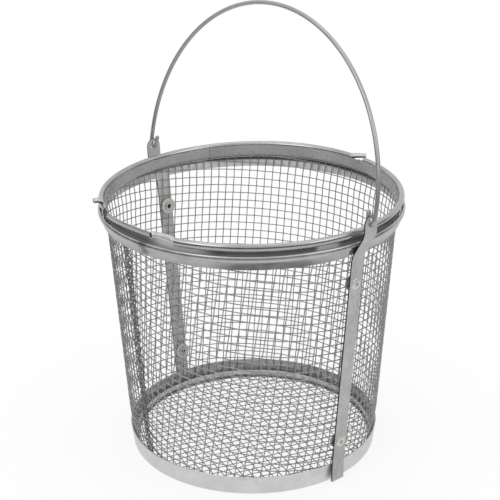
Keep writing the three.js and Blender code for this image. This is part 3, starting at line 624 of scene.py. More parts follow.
def rolled(x, y, lift):
    """Points of the flat fan on the basket, lifted off the cloth's middle by a little."""
    slant = np.hypot(x, y)
    round_fan = np.degrees(np.arctan2(x, y) / CONE_SINE)
    height = (slant * CONE_SINE - WALL_FOOT) / WALL_RISE
    tucked = np.clip((round_fan - FAN_TO + TUCK_FROM) / TUCK_SPAN, 0, 1)
    lifted = np.clip((FAN_FROM + LIFT_FROM - round_fan) / LIFT_SPAN, 0, 1)
    radius = cloth_radius(height) + lift + LIFT * lifted - TUCK * tucked
    turn = np.radians(FAN_MIDDLE - round_fan)
    points = np.stack([radius * np.cos(turn), radius * np.sin(turn), height], 1)
    inside = (height > CLOTH_LOW) & (height < CLOTH_HIGH)
    inside &= (round_fan > FAN_FROM) & (round_fan < FAN_TO)
    sheet = np.stack([(round_fan - FAN_FROM) / (FAN_TO - FAN_FROM), height / CLOTH_HIGH], 1)
    return points, inside, sheet


def runs(inside):
    """First and last place of each unbroken run of samples that are inside."""
    padded = np.concatenate([[0], inside.astype(int), [0]])
    starts = np.flatnonzero(np.diff(padded) == 1)
    ends = np.flatnonzero(np.diff(padded) == -1)
    return [(a, b) for a, b in zip(starts, ends) if b - a >= SHORTEST_RUN]


print("cloth pitch", CLOTH_PITCH, "mm, wire", CLOTH_WIRE, "mm")


# %% Wires as tubes
def wire_tube(line, outward, diameter, sides):
    """A closed tube along a line of points, its first side facing outwards."""
    along = np.gradient(line, axis=0)
    along /= np.linalg.norm(along, axis=1)[:, None]
    normal = outward - (outward * along).sum(1)[:, None] * along
    normal /= np.linalg.norm(normal, axis=1)[:, None]
    sideways = np.cross(along, normal)
    turn = np.arange(sides) * 2 * np.pi / sides
    spokes = np.cos(turn)[None, :, None] * normal[:, None] + np.sin(turn)[None, :, None] * sideways[:, None]
    points = (line[:, None] + spokes * diameter / 2).reshape(-1, 3)
    ring = np.arange(len(line) - 1)[:, None] * sides
    here = np.arange(sides)[None]
    after = (here + 1) % sides
    corners = [ring + here, ring + after, ring + sides + after, ring + sides + here]
    faces = np.stack(corners, 2).reshape(-1, 4)
    last = (len(line) - 1) * sides
    caps = [list(range(sides))[::-1], list(range(last, last + sides))]
    return points, faces.tolist() + caps


WIRE_SIDES = 6
STEPS_PER_PITCH = 4


def weave(lines, diameter=CLOTH_WIRE):
    """Points and faces of many wires' tubes, with each point's place on the flat sheet."""
    shells = []
    sheets = []
    for line, outward, sheet in lines:
        shells.append(wire_tube(line, outward, diameter, WIRE_SIDES))
        sheets.append(np.repeat(sheet, WIRE_SIDES, axis=0))
    points, faces = joined(shells)
    return points, faces, np.concatenate(sheets)


def lay_flat_map(piece, sheet):
    """Gives a woven piece the place of each point on the flat sheet as its map."""
    layer = piece.data.uv_layers.new(name="OFBake")
    corners = np.empty(len(piece.data.loops), int)
    piece.data.loops.foreach_get("vertex_index", corners)
    layer.data.foreach_set("uv", sheet[corners].ravel())


print("tubes have", WIRE_SIDES, "sides and", STEPS_PER_PITCH, "steps to a pitch")


# %% Weave the wall
UPRIGHT_PHASE = -1.895
HOOP_PHASE = 1.205
CLOTH_CRIMP = 0.13
FAN_ACROSS, FAN_ALONG = (-380, 380), (1320, 1580)


def wall_lines(upright):
    """The lines of one set of wall wires, crimped over and under the other set."""
    phase, cross_phase = (UPRIGHT_PHASE, HOOP_PHASE) if upright else (HOOP_PHASE, UPRIGHT_PHASE)
    reach, cross_reach = (FAN_ACROSS, FAN_ALONG) if upright else (FAN_ALONG, FAN_ACROSS)
    sign = 1 if upright else -1
    first = math.ceil((cross_reach[0] - cross_phase) / CLOTH_PITCH) * STEPS_PER_PITCH
    last = math.floor((cross_reach[1] - cross_phase) / CLOTH_PITCH) * STEPS_PER_PITCH
    place = np.arange(first, last + 1) / STEPS_PER_PITCH
    moving = cross_phase + place * CLOTH_PITCH
    first_wire = math.ceil((reach[0] - phase) / CLOTH_PITCH)
    last_wire = math.floor((reach[1] - phase) / CLOTH_PITCH)
    lines = []
    for k in range(first_wire, last_wire + 1):
        still = np.full(len(place), phase + k * CLOTH_PITCH)
        lift = sign * CLOTH_CRIMP * np.cos(np.pi * place) * (-1) ** k
        x, y = (still, moving) if upright else (moving, still)
        points, inside, sheet = rolled(x, y, lift)
        outward = points * (1, 1, 0)
        lines.extend((points[a:b], outward[a:b], sheet[a:b]) for a, b in runs(inside))
    return lines


PANELS = [f"wall_mesh_panel_{count}" for count in range(1, 13)]
for name, upright, stands_for in (("wall_uprights", True, PANELS), ("wall_hoops", False, ())):
    points, faces, sheet = weave(wall_lines(upright))
    cloth = add_piece(name, points, faces, shaded_wire_zinc, "zinc_wire", stands_for, crease=80)
    lay_flat_map(cloth, sheet)
    print(name, len(faces), "faces")

# %% [markdown]
# The sheet's two ends are folded over each other and pressed flat, and the dip fills the fold, so the
# seam is a dense upright band. Its wires run close together in two layers, with short wires across.

# %% Fold the seam
SEAM_FROM, SEAM_TO = -99.9, -96.1
SEAM_UPRIGHTS = 4
SEAM_CROSS_PITCH = CLOTH_PITCH / 2
SEAM_CROSS_START, SEAM_CROSS_SHARE = 1.0, 0.6
SEAM_LIFT = 0.42
SEAM_LOW, SEAM_HIGH = 5.5, 192.0


def seam_line(angle, height, lift):
    """A wire of the seam through given angles and heights, with its outward direction and its map."""
    radius = cloth_radius(height) + lift
    turn = np.radians(angle)
    points = np.stack([radius * np.cos(turn), radius * np.sin(turn), height], 1)
    sheet = np.stack([(angle - SEAM_FROM) / (SEAM_TO - SEAM_FROM), height / CLOTH_HIGH], 1)
    return points, points * (1, 1, 0), sheet


def seam_lines():
    lines = []
    height = np.arange(SEAM_LOW, SEAM_HIGH, CLOTH_PITCH / 2)
    for count, angle in enumerate(np.linspace(SEAM_FROM, SEAM_TO, SEAM_UPRIGHTS)):
        weave_lift = SEAM_LIFT * np.cos(np.pi * (np.arange(len(height)) + count))
        lines.append(seam_line(np.full(len(height), angle), height, weave_lift))
    angle = np.linspace(SEAM_FROM, SEAM_TO, SEAM_UPRIGHTS * 2 - 1)
    for count, level in enumerate(np.arange(SEAM_LOW + SEAM_CROSS_START, SEAM_HIGH, SEAM_CROSS_PITCH)):
        weave_lift = SEAM_CROSS_SHARE * SEAM_LIFT * np.cos(np.pi * (np.arange(len(angle)) / 2 + count))
        lines.append(seam_line(angle, np.full(len(angle), level), weave_lift))
    return lines


points, faces, sheet = weave(seam_lines())
seam = add_piece("wall_seam", points, faces, floor_wire_zinc, "zinc_wire", crease=80)
lay_flat_map(seam, sheet)
print("seam of", len(faces), "faces")

# %% [markdown]
# ## The floor cloth
# The floor is a disc of cloth of the same mesh, with slightly thinner, darker wire. It lies on the base
# flange, so its wires are straight lines in a plane, trimmed to a circle that ends under the clamp hoop.
# Its two pitches differ by a hair, as in real cloth, where the loom sets one and the beater the other.

# %% Weave the floor
FLOOR_CLOTH = ((73.1, 6.42, 0.40), (-18.4, 6.25, 0.43))
FLOOR_HEIGHT = 1.8
FLOOR_CRIMP = 0.18
FLOOR_TRIM = 91.9
FLOOR_WIRE = 0.69


def pointing(degrees):
    """A step of length 1 in the plane, at an angle."""
    return np.array([math.cos(math.radians(degrees)), math.sin(math.radians(degrees))])


def floor_lines(family):
    """The lines of one set of floor wires, each set given as the angle of its normal, pitch and phase."""
    angle, pitch, phase = FLOOR_CLOTH[family]
    cross_angle, cross_pitch, cross_phase = FLOOR_CLOTH[1 - family]
    normal = pointing(angle)
    cross_normal = pointing(cross_angle)
    along = np.array([-normal[1], normal[0]])
    lines = []
    reach = math.ceil(FLOOR_TRIM / pitch) + 1
    for k in range(-reach, reach + 1):
        offset = phase + k * pitch
        place = np.arange(-reach * STEPS_PER_PITCH, reach * STEPS_PER_PITCH + 1) / STEPS_PER_PITCH
        wanted = cross_phase + place * cross_pitch
        step = (wanted - offset * (normal @ cross_normal)) / (along @ cross_normal)
        flat = offset * normal[None] + step[:, None] * along[None]
        lift = (1 - 2 * family) * FLOOR_CRIMP * np.cos(np.pi * place) * (-1) ** k
        points = np.column_stack([flat, FLOOR_HEIGHT + lift])
        inside = np.hypot(*flat.T) < FLOOR_TRIM
        upward = np.tile([0.0, 0.0, 1.0], (len(points), 1))
        sheet = flat / FLOOR_TRIM / 2 + 0.5
        lines.extend((points[a:b], upward[a:b], sheet[a:b]) for a, b in runs(inside))
    return lines


points, faces, sheet = weave(floor_lines(0) + floor_lines(1), FLOOR_WIRE)
floor_cloth = add_piece("floor_cloth", points, faces, floor_wire_zinc, "zinc_wire", ["floor_mesh"], crease=80)
lay_flat_map(floor_cloth, sheet)
print("floor cloth", len(faces), "faces")

# %% [markdown]
# ## Sheet hoops
# The rim and the base are strips of sheet, rolled, hemmed or flanged along an edge. A solid ring
# would look right from afar, but a rolled edge is hollow and its cut ends show it. So each strip is
# a line in the plane of radius and height, given the thickness of the sheet, and carried round Z.

# %% Strips of sheet carried round
EASED_EDGE, EDGE_SHARE, SHARPEST_MITRE = 0.3, 0.45, 0.5


def strip_outline(line, thickness):
    """The closed outline of a strip along a line, with its two edges eased."""
    line = np.asarray(line, float)
    ease = EASED_EDGE * thickness
    first = line[0] + (line[1] - line[0]) * ease / np.linalg.norm(line[1] - line[0])
    last = line[-1] + (line[-2] - line[-1]) * ease / np.linalg.norm(line[-2] - line[-1])
    line = np.vstack([line[:1], first, line[1:-1], last, line[-1:]])
    step = np.diff(line, axis=0)
    step /= np.linalg.norm(step, axis=1)[:, None]
    before = np.vstack([step[:1], step])
    after = np.vstack([step, step[-1:]])
    along = before + after
    along /= np.linalg.norm(along, axis=1)[:, None]
    mitre = np.clip((along * after).sum(1), SHARPEST_MITRE, 1)
    half = np.full(len(line), thickness / 2)
    half[[0, -1]] *= EDGE_SHARE
    side = np.stack([-along[:, 1], along[:, 0]], 1) * (half / mitre)[:, None]
    return np.vstack([line + side, (line - side)[::-1]])


def bend(centre, radius, from_angle, to_angle, steps):
    """Points round a bend in the plane of radius and height."""
    turn = np.radians(np.linspace(from_angle, to_angle, steps + 1))
    radius = np.broadcast_to(radius, 2)
    return np.stack([centre[0] + radius[0] * np.cos(turn), centre[1] + radius[1] * np.sin(turn)], 1)


def skin(sections, ring):
    """Faces over sections of equal length, closed into a ring or capped at both ends."""
    sections = np.asarray(sections)
    count, size = sections.shape[:2]
    joints = np.arange(count if ring else count - 1)[:, None]
    here = np.arange(size)[None]
    after = (here + 1) % size
    there = (joints + 1) % count
    corners = [joints * size + here, joints * size + after, there * size + after, there * size + here]
    faces = np.stack(corners, 2).reshape(-1, 4).tolist()
    if not ring:
        last = (count - 1) * size
        faces += [list(range(size))[::-1], list(range(last, last + size))]
    return sections.reshape(-1, 3), faces


HOOP_STEP = 1.25


def carried_round(outline_at, from_angle, to_angle):
    """A strip's outline carried round Z, the outline free to change with the angle."""
    ring = abs(to_angle - from_angle - 360) < 1e-6
    steps = max(2, math.ceil((to_angle - from_angle) / HOOP_STEP))
    sections = []
    for angle in np.linspace(from_angle, to_angle, steps + 1)[: steps if ring else None]:
        outline = outline_at(angle)
        turn = math.radians(angle)
        sections.append(np.column_stack([
            outline[:, 0] * math.cos(turn), outline[:, 0] * math.sin(turn), outline[:, 1],
        ]))
    return skin(sections, ring)


print("hoops are stepped every", HOOP_STEP, "degrees")

# %% [markdown]
# ## The rim collar
# The collar lies inside the cloth and is rolled outwards along its top edge. It is made in lengths.
# Where two lengths meet, the last bit of roll is cut free of the band and bent outwards as a lug, an
# open tube. The short length at the side has a flat hem instead of a roll.

# %% Collar sections
SHEET = 0.5
COLLAR_RADIUS = 108.85
COLLAR_FOOT = 193.5
FOOT_SINK = 0.9
KICKED_FOOT = [(-0.3, 0.0), (-0.08, 0.7), (0.0, 1.6)]
ROLL_SIZE = np.array([2.05, 2.65])
ROLL_CENTRE = np.array([110.7, 203.1])
ROLL_START, ROLL_END, HOOK_END = 205, -130, 15
BELOW_ROLL = 0.5
ROUND_FROM, ROUND_TO, ROUNDED = -4, 6, 0.28
FRONT_END = 87.5
HEM_TOP, HEM_FOLD, BELOW_HEM = 205.1, 0.5, 0.9
HEM_LIP = [(1.0, -1.8), (1.85, -2.75)]
HEM_SLOPE_FROM, HEM_SLOPE_SPAN, HEM_SLOPE, HEM_SLOPE_POWER = -90, 23, 3.6, 1.5


def collar_sink(angle):
    """How far the collar's top edge sits below its highest place, in millimetres."""
    away = abs((angle - COLLAR_HIGH_ANGLE + 180) % 360 - 180)
    return COLLAR_SINK * (1 - math.cos(math.pi * min(away / COLLAR_HIGH_SPAN, 1))) / 2


def smooth(value, low, high):
    """0 below low, 1 above high, and an eased rise between them."""
    share = min(max((value - low) / (high - low), 0), 1)
    return share * share * (3 - 2 * share)


def roll_size(angle):
    """The roll's half width and height: tall at the front, and rounder past the right strap."""
    share = smooth(angle, ROUND_FROM, ROUND_TO) if angle < FRONT_END else 0
    return ROLL_SIZE * (1, 1 - ROUNDED * share)


def collar_band(foot, top):
    kicked = [(COLLAR_RADIUS + out, foot + up) for out, up in KICKED_FOOT]
    middle = (kicked[-1][1] + top) / 2
    return kicked + [(COLLAR_RADIUS, middle), (COLLAR_RADIUS, top)]


def collar_outline(kind, angle):
    sink = collar_sink(angle)
    size = roll_size(angle)
    centre = ROLL_CENTRE + (0, ROLL_SIZE[1] - size[1] - sink)
    foot = COLLAR_FOOT - FOOT_SINK * sink
    if kind == "plain":
        return strip_outline(collar_band(foot, centre[1]), SHEET)
    if kind == "hemmed":
        slope = min(max((HEM_SLOPE_FROM - angle) / HEM_SLOPE_SPAN, 0), 1)
        top = HEM_TOP - sink - HEM_SLOPE * slope ** HEM_SLOPE_POWER
        fold = bend((COLLAR_RADIUS + HEM_FOLD, top - HEM_FOLD), HEM_FOLD, 180, 0, 8)
        lip = [(COLLAR_RADIUS + out, top + up) for out, up in HEM_LIP]
        return strip_outline(np.vstack([collar_band(foot, top - BELOW_HEM), fold, lip]), SHEET)
    roll = bend(centre, size, ROLL_START, HOOK_END if kind == "hooked" else ROLL_END, 28)
    return strip_outline(np.vstack([collar_band(foot, roll[0, 1] - BELOW_ROLL), roll]), SHEET)


def collar_length(spans):
    """Shells for one length of collar, given as (kind, from, to) spans."""
    def shell(kind, start, end):
        return carried_round(lambda angle: collar_outline(kind, angle), start, end)
    return [shell(*span) for span in spans]


print("collar roll", 2 * ROLL_SIZE + SHEET, "mm across")

# %% Freed lugs
UP = np.array([0, 0, 1.0])
LUG_BEND_STEPS = 8
LUG_STEPS = (0.35, 0.7, 1.0)
MOUTH_GAP, MOUTH_SINK = 0.2, 0.1


def pressed(outline, centre, side, press):
    """A section set upright at a centre, pressed lower and so a little wider."""
    return centre + outline[:, :1] * side * (1.5 - press / 2) + outline[:, 1:] * UP * press


def lug_tube(angle, way, turn_out, turn_radius, length, rise, squeeze):
    """The freed roll, which turns outwards, rises and ends as an open tube, and a black plug in its mouth as
    painted shade.
    """
    outline = strip_outline(bend((0, 0), ROLL_SIZE, 180, ROLL_END, 26), SHEET)
    spoke = math.radians(angle)
    out = np.array([math.cos(spoke), math.sin(spoke), 0])
    ahead = np.array([-math.sin(spoke), math.cos(spoke), 0]) * way
    start = out * ROLL_CENTRE[0] + UP * (ROLL_CENTRE[1] - collar_sink(angle))
    bent = np.radians(np.linspace(0, turn_out, LUG_BEND_STEPS + 1))
    path = []
    for b in bent:
        sideways = turn_radius * (math.sin(b) * ahead + (1 - math.cos(b)) * out)
        path.append((start + sideways + UP * rise * b / bent[-1], b))
    corner, full = path[-1]
    heading = math.cos(full) * ahead + math.sin(full) * out
    path += [(corner + heading * length * share, full) for share in LUG_STEPS]
    sections = []
    for count, (centre, b) in enumerate(path):
        side = math.cos(b) * out - math.sin(b) * ahead
        press = 1 - (1 - squeeze) * count / (len(path) - 1)
        sections.append(pressed(outline, centre, side, press))
    mouth = bend((0, 0), ROLL_SIZE - MOUTH_GAP, 0, 345, 23)
    shade = [pressed(mouth, place, side, squeeze) for place in (corner, centre - heading * MOUTH_SINK)]
    return skin(sections, False), skin(shade, False)


back_lug, back_mouth_shade = lug_tube(91.5, -1, turn_out=38, turn_radius=6.0, length=8.0, rise=1.6, squeeze=0.55)
side_lug, _ = lug_tube(239.6, 1, turn_out=86, turn_radius=3.0, length=3.9, rise=4.8, squeeze=0.55)
front_lug, front_mouth_shade = lug_tube(-70.5, -1, turn_out=62, turn_radius=14.0, length=1.8, rise=5.6, squeeze=0.8)
print("three lugs at the ends of the rolls")

# %% Lengths of collar
COLLARS = {
    "rim_roll_rear": [("plain", 87.5, 91.5), ("rolled", 91.5, 239.6), ("hooked", 239.6, 247.0)],
    "rim_roll_front": [("plain", -78.5, -70.5), ("rolled", -70.5, 84.0), ("plain", 84.0, FRONT_END)],
    "rim_hem_short": [("hemmed", -113.0, -78.5)],
}
for name, spans in COLLARS.items():
    solid = "rim_collar_" + name.split("_")[-1]
    add_piece(name, *joined(collar_length(spans)), collar_zinc, "zinc_sheet", [solid])
    print(name, "stands for", solid)
add_piece("rim_lugs", *joined([back_lug, side_lug, front_lug]), lug_zinc, "zinc_sheet")
# Near-black plugs in the back and front lugs' mouths, painted shade.
add_piece("lug_mouth_shade", *joined([back_mouth_shade, front_mouth_shade]), mouth_shade_black, "zinc_sheet")

# %% [markdown]
# ## The skirt
# The skirt is the hoop outside the cloth, with a smaller roll along its top. It is one strip whose
# ends lap behind a strap: the outer end is cut short under its roll, and the inner end shows behind,
# painted dark as the shade behind the strap.

# %% Skirt
SKIRT_ROLL, SKIRT_ROLL_END = (0.95, 2.15), -150
SKIRT_KNEE, SKIRT_NECK = (0.2, 2.2), (0, 0.8)
FLARE_ANGLE, FLARE_SPAN, FLARE = 324, 36, (2.5, 0.5)
SKIRT_START, LAP_END = -0.5, 353.8
LAP_ROLL_END, LAP_ROLL_CUT = 359.5, -5
LAP_LIFT, LAP_RISE_FROM, LAP_RISE_TO = 0.6, 336, 350
INNER_END_LINE = [(110.0, 185.0), (110.45, 188.8), (110.9, 192.4)]
INNER_END_SPAN = (-12, -0.4)


def skirt_line(angle, whole):
    """The skirt from its flared foot to its roll, or its roll alone where the sheet is cut away."""
    centre = (SKIRT_HEAD[0] + SKIRT_ROLL[0], SKIRT_HEAD[1])
    roll = bend(centre, SKIRT_ROLL, 180, SKIRT_ROLL_END if whole else LAP_ROLL_CUT, 20)
    if not whole:
        return roll
    share = min(abs((angle - FLARE_ANGLE + 180) % 360 - 180) / FLARE_SPAN, 1)
    foot = np.array(SKIRT_FOOT) + np.array(FLARE) * (1 + math.cos(math.pi * share)) / 2
    head = np.array(SKIRT_HEAD)
    knee = head - SKIRT_KNEE
    return np.vstack([foot, (foot + knee) / 2, knee, head - SKIRT_NECK, roll])


def skirt_shell(whole, start, end):
    """A stretch of the skirt, lifted where it laps over its own inner end."""
    def outline_at(angle):
        lifted = (LAP_LIFT * smooth(angle, LAP_RISE_FROM, LAP_RISE_TO), 0)
        return strip_outline(skirt_line(angle, whole) + lifted, SHEET)
    return carried_round(outline_at, start, end)


skirt = [skirt_shell(True, SKIRT_START, LAP_END), skirt_shell(False, LAP_END, LAP_ROLL_END)]
add_piece("skirt_roll", *joined(skirt), skirt_zinc, "zinc_sheet", ["rim_skirt"])
inner_end = carried_round(lambda angle: strip_outline(INNER_END_LINE, SHEET), *INNER_END_SPAN)
# The inner end carries the painted shade of the recess behind the strap.
add_piece("skirt_inner_end", *inner_end, shaded_lap_zinc, "zinc_sheet")
print("skirt laps from", LAP_END, "degrees")

# %% [markdown]
# ## The base
# The band round the foot is heavier sheet with an inward flange, which the basket stands on. The
# clamp hoop inside holds the edge of the floor cloth down, and its ends butt with a small gap.

# %% Base band and clamp hoop
BASE_SHEET = 0.8
FLANGE_LINE = [(90.2, 0.4), (92.0, 0.4)]
FLANGE_BEND = bend((93.6, 1.4), 1.0, -90, -6, 8)
BAND_LINE = [(95.1, 6.0), (95.75, 11.0), (96.35, 15.0)]
CLAMP_LINE = [(91.95, 2.75), (91.88, 3.4), (91.85, 5.6), (91.8, 6.5)]
CLAMP_GAP = 178.5
CLAMP_GAP_HALF = 0.62


def band_outline(angle):
    return strip_outline(np.vstack([FLANGE_LINE, FLANGE_BEND, BAND_LINE]), BASE_SHEET)


def clamp_outline(angle):
    return strip_outline(CLAMP_LINE, BASE_SHEET)


add_piece("foot_band", *carried_round(band_outline, 0, 360), band_zinc, "zinc_sheet", ["base_band"])
clamp = carried_round(clamp_outline, CLAMP_GAP + CLAMP_GAP_HALF - 360, CLAMP_GAP - CLAMP_GAP_HALF)
add_piece("floor_clamp", *clamp, band_zinc, "zinc_sheet", ["base_clamp_hoop"])
print("base band and clamp hoop of", BASE_SHEET, "mm sheet")

# %% [markdown]
# ## The straps
# Each strap is a flat bar, riveted down the wall, bent out past the rim and rounded off round an eye.
# It could be a boxed bar with a hole cut through. A flat face with the hole already in it bends more
# cleanly: the face follows the strap's line, and Solidify and Bevel give the thickness and soft edges.

# %% Strap line and lean
HINGE = np.array(frame["joints"][0]["pos_m"]) / MM
HINGE_LINE = frame["joints"][0]["axis"]
STRAP_LEAN = -1.4
STRAP_TURN = {"right": -0.3, "left": 178.1}
STRAP_WIDTH = 12.0
STRAP_THICKNESS = 1.3
STRAP_CORNERS = np.array([(97.7, 0.4), (97.7, 15.0), (109.6, 182.5), (120.2, 200.5), (120.2, 204.0)])
STRAP_EASE = (0, 6.0, 4.0, 5.0, 0)
EYE_HEIGHT = HINGE[2] + 1.1
EYE_RADIUS = 3.0


def eased(corners, ease):
    """A bent line with each corner rounded off by a short curve."""
    line = [corners[0]]
    for before, corner, after, cut in zip(corners, corners[1:], corners[2:], ease[1:]):
        cut = min(cut, 0.95 * np.linalg.norm(after - corner))
        start = corner + (before - corner) / np.linalg.norm(before - corner) * cut
        end = corner + (after - corner) / np.linalg.norm(after - corner) * cut
        for share in np.linspace(0, 1, 9):
            line.append((1 - share) ** 2 * start + 2 * share * (1 - share) * corner + share ** 2 * end)
    return np.array(line + [corners[-1]])


def spun(points, axis, degrees):
    """Points turned about an axis through the origin."""
    return np.asarray(points, float) @ np.array(Matrix.Rotation(math.radians(degrees), 3, axis)).T


def set_on_side(points, side):
    """Places points of a strap's own frame on its side of the basket, with the strap's lean."""
    eye = np.array([0, 0, HINGE[2]])
    return spun(spun(np.asarray(points, float) - eye, "X", STRAP_LEAN), "Z", STRAP_TURN[side]) + eye


print("strap line of", len(eased(STRAP_CORNERS, STRAP_EASE)), "points")


# %% Straps with their eyes
STRAP_COLUMNS, STRAP_ROW = 7, 8.0
CROWN_DROP, CROWN_STEPS = 1.0, 16
SHOULDERS = (0.35, 0.7)
SOFT_EDGE, SOFT_ANGLE = 0.22, 50


def strap_face():
    """The strap's middle face: rows up the bar, then rings round the eye."""
    line = eased(STRAP_CORNERS, STRAP_EASE)
    dense = [line[0]]
    for a, b in zip(line, line[1:]):
        count = max(1, round(np.linalg.norm(b - a) / STRAP_ROW))
        dense.extend(a + (b - a) * share for share in np.linspace(0, 1, count + 1)[1:])
    half = STRAP_WIDTH / 2
    across = np.linspace(-half, half, STRAP_COLUMNS)
    points = [(r, y, z) for r, z in dense for y in across]
    faces = []
    for row in range(len(dense) - 1):
        for column in range(STRAP_COLUMNS - 1):
            a = row * STRAP_COLUMNS + column
            faces.append([a, a + 1, a + STRAP_COLUMNS + 1, a + STRAP_COLUMNS])
    reach, top = dense[-1]
    last = (len(dense) - 1) * STRAP_COLUMNS
    head = EYE_HEIGHT - CROWN_DROP
    sides = [(half, top + (head - top) * share) for share in SHOULDERS]
    turns = np.linspace(0, math.pi, CROWN_STEPS + 1)
    crown = [(half * math.cos(turn), head + half * math.sin(turn)) for turn in turns]
    outer = [(y, top) for y in across] + sides + crown + [(-y, z) for y, z in sides[::-1]]
    rings = [[last + column for column in range(STRAP_COLUMNS)]]
    for y, z in outer[STRAP_COLUMNS:]:
        rings[0].append(len(points))
        points.append((reach, y, z))
    for share in (0.5, 1.0):
        ring = []
        for y, z in outer:
            turn = math.atan2(z - EYE_HEIGHT, y)
            rim = (EYE_RADIUS * math.cos(turn), EYE_HEIGHT + EYE_RADIUS * math.sin(turn))
            ring.append(len(points))
            points.append((reach, y + (rim[0] - y) * share, z + (rim[1] - z) * share))
        rings.append(ring)
    for lower, upper in zip(rings, rings[1:]):
        for place in range(len(outer)):
            after = (place + 1) % len(outer)
            faces.append([lower[place], lower[after], upper[after], upper[place]])
    return points, faces


for side in ("right", "left"):
    points, faces = strap_face()
    strap = add_piece(
        f"carry_strap_{side}", set_on_side(points, side), faces, strap_zinc, "strap_steel", [f"strap_{side}"],
    )
    thick = strap.modifiers.new("bar_thickness", "SOLIDIFY")
    thick.thickness = STRAP_THICKNESS * MM
    thick.offset = 0
    soft = strap.modifiers.new("soft_edges", "BEVEL")
    soft.width = SOFT_EDGE * MM
    soft.segments = 2
    soft.limit_method = "ANGLE"
    soft.angle_limit = math.radians(SOFT_ANGLE)
    print("strap", side, "with an eye of", 2 * EYE_RADIUS, "mm")

# %% [markdown]
# ## Rivets and washers
# Blind rivets hold each strap to the wall. Outside shows a low domed head, with the broken steel pin
# almost flush in its middle. Inside, a wide washer spreads the load over the cloth, and the rivet's
# tail is a short cup with the pin's end sunk in it. All are turned shapes, a profile spun round its axis.
# A head's profile is measured out from the strap, and a tail's inwards from the cloth.

# %% Turned pieces
RIM_REACH, FOOT_REACH, RIM_HEIGHT = 109.9, 95.5, 206
WALL_TILT = math.atan2(RIM_REACH - FOOT_REACH, RIM_HEIGHT)
RIVET_HEIGHTS = {"upper": 160.95, "lower": 33.08}
TURNED_SIDES = 28
CLOTH_HALF = 0.8


def strap_reach(height):
    """How far out the strap's outer face lies at a height between its foot and its first bend."""
    return np.interp(height, STRAP_CORNERS[1:3, 1], STRAP_CORNERS[1:3, 0]) + STRAP_THICKNESS / 2


def turned(profile, height, side):
    """A profile of (radius, distance out from the strap's outer face) spun round a rivet's axis."""
    profile = np.asarray(profile, float)
    axis = np.array([math.cos(WALL_TILT), 0, -math.sin(WALL_TILT)])
    up = np.array([math.sin(WALL_TILT), 0, math.cos(WALL_TILT)])
    over = np.array([0, 1.0, 0])
    turn = np.arange(TURNED_SIDES) * 2 * np.pi / TURNED_SIDES
    spokes = np.cos(turn)[:, None] * over + np.sin(turn)[:, None] * up
    rings = profile[:, :1, None] * spokes[None] + profile[:, 1:, None] * axis
    points, faces = skin(rings.swapaxes(0, 1), True)
    return set_on_side(points + (strap_reach(height), 0, height), side), faces


def cloth_depth(height):
    """How far the cloth's inner side lies in from the strap's outer face."""
    return strap_reach(height) - (cloth_radius(height) - CLOTH_HALF)


print("turned pieces have", TURNED_SIDES, "sides")

# %% Rivets, pins and washers
RIVET_HEAD = [(1.33, 0.9), (1.5, 1.16), (2.2, 1.2), (3.1, 1.06), (3.9, 0.72), (4.36, 0.34), (4.5, 0.05),
              (4.4, -0.02), (2.4, -0.02)]
RIVET_TAIL = [(2.4, 1.2), (3.1, 1.2), (3.3, 1.4), (3.2, 1.75), (2.5, 1.85), (1.95, 1.65), (1.8, 1.3),
              (1.8, 0.4), (1.4, 0.3)]
PIN_HEAD = [(0.02, 1.12), (0.9, 1.13), (1.22, 1.08), (1.3, 0.8)]
PIN_TAIL = [(1.3, 0.5), (1.75, 0.6), (1.75, 1.05), (1.2, 1.25), (0.02, 1.3)]
WASHER = [(2.6, 0.1), (2.75, 0.0), (5.9, 0.0), (6.3, 0.2), (6.35, 0.6), (6.1, 0.95), (5.4, 1.05),
          (2.85, 1.05), (2.6, 0.9)]
TURNED_PIECES = (
    ("blind_rivet", "rivet", RIVET_HEAD, RIVET_TAIL, rivet_aluminium, "rivet_metal"),
    ("rivet_pin", "mandrel", PIN_HEAD, PIN_TAIL, mandrel_steel, "mandrel_steel"),
    ("wall_washer", "washer", [], WASHER, washer_zinc, "washer_metal"),
)

for side in ("right", "left"):
    for place, height in RIVET_HEIGHTS.items():
        depth = cloth_depth(height)
        tag = f"{side}_{place}"
        for name, solid, head, tail, material, slot in TURNED_PIECES:
            profile = head + [(radius, -depth - past) for radius, past in tail]
            add_piece(f"{name}_{tag}", *turned(profile, height, side), material, slot, [f"{solid}_{tag}"])
print("rivets at", sorted(RIVET_HEIGHTS.values()), "mm")

# %% [markdown]
# ## The bail
# The bail is one round wire: an arch on two short legs, with a hook at each end that passes through
# the strap's eye. A curve with a bevel would do, but its tips would be cut off flat. A tube along the
# same line can taper over its last millimetre, so the cut ends are eased.

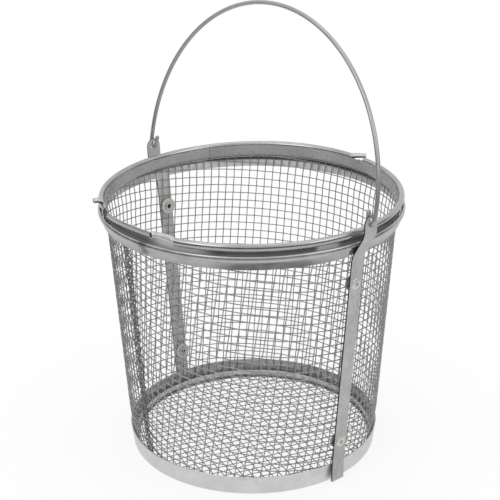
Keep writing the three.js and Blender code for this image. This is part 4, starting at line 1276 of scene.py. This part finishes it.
# %% Bail wire
BAIL_WIRE = 3.2
BAIL_LEG = 7.5
BAIL_LEAN = -10.2
BAIL_SIDES = 16
HOOK_RADIUS = 3.0
HOOK_TIP = 6.5
HOOK_TIP_LEAN = 8.0
TIP_STEPS = (1.0, 0.94, 0.86, 0.5)
TIP_SIZES = {0: 0.45, 1: 0.86, -1: 0.45, -2: 0.86}
LEG_JOIN = 5.2
HOOK_STEPS, ARCH_STEPS = 14, 60


def bail_line():
    """The wire's middle in its own plane, from one tip over the crown to the other."""
    reach = STRAP_CORNERS[-1][0]
    hook = np.radians(np.linspace(HOOK_TIP_LEAN - 180, 0, HOOK_STEPS + 1))
    half = np.stack([reach + HOOK_RADIUS * np.cos(hook), HOOK_RADIUS + HOOK_RADIUS * np.sin(hook)], 1)
    lean = math.radians(HOOK_TIP_LEAN)
    tipward = np.array([-math.sin(lean), math.cos(lean)])
    tip = [half[0] + tipward * HOOK_TIP * share for share in TIP_STEPS]
    leg = reach + HOOK_RADIUS
    arch = np.radians(np.linspace(0, 90, ARCH_STEPS + 1))
    arch = np.stack([leg * np.cos(arch), BAIL_LEG + leg * np.sin(arch)], 1)
    half = np.vstack([tip, half, [(leg, LEG_JOIN)], arch])
    return np.vstack([half, (half[:-1] * (-1, 1))[::-1]])


def bail_tube():
    flat = bail_line()
    line = np.column_stack([flat[:, 0], np.zeros(len(flat)), flat[:, 1]])
    points, faces = wire_tube(line, np.tile([0.0, 1.0, 0.0], (len(line), 1)), BAIL_WIRE, BAIL_SIDES)
    rings = points.reshape(len(line), BAIL_SIDES, 3)
    for end, size in TIP_SIZES.items():
        rings[end] = line[end] + (rings[end] - line[end]) * size
    skew = math.degrees(math.atan2(HINGE_LINE[1], HINGE_LINE[0]))
    return spun(spun(rings.reshape(-1, 3), "X", BAIL_LEAN), "Z", skew) + HINGE, faces


points, faces = bail_tube()
add_piece("bail_wire", points, faces, bail_zinc, "bail_wire", ["bail"], body="bail")
print("bail crown at", round(points[:, 2].max(), 1), "mm")
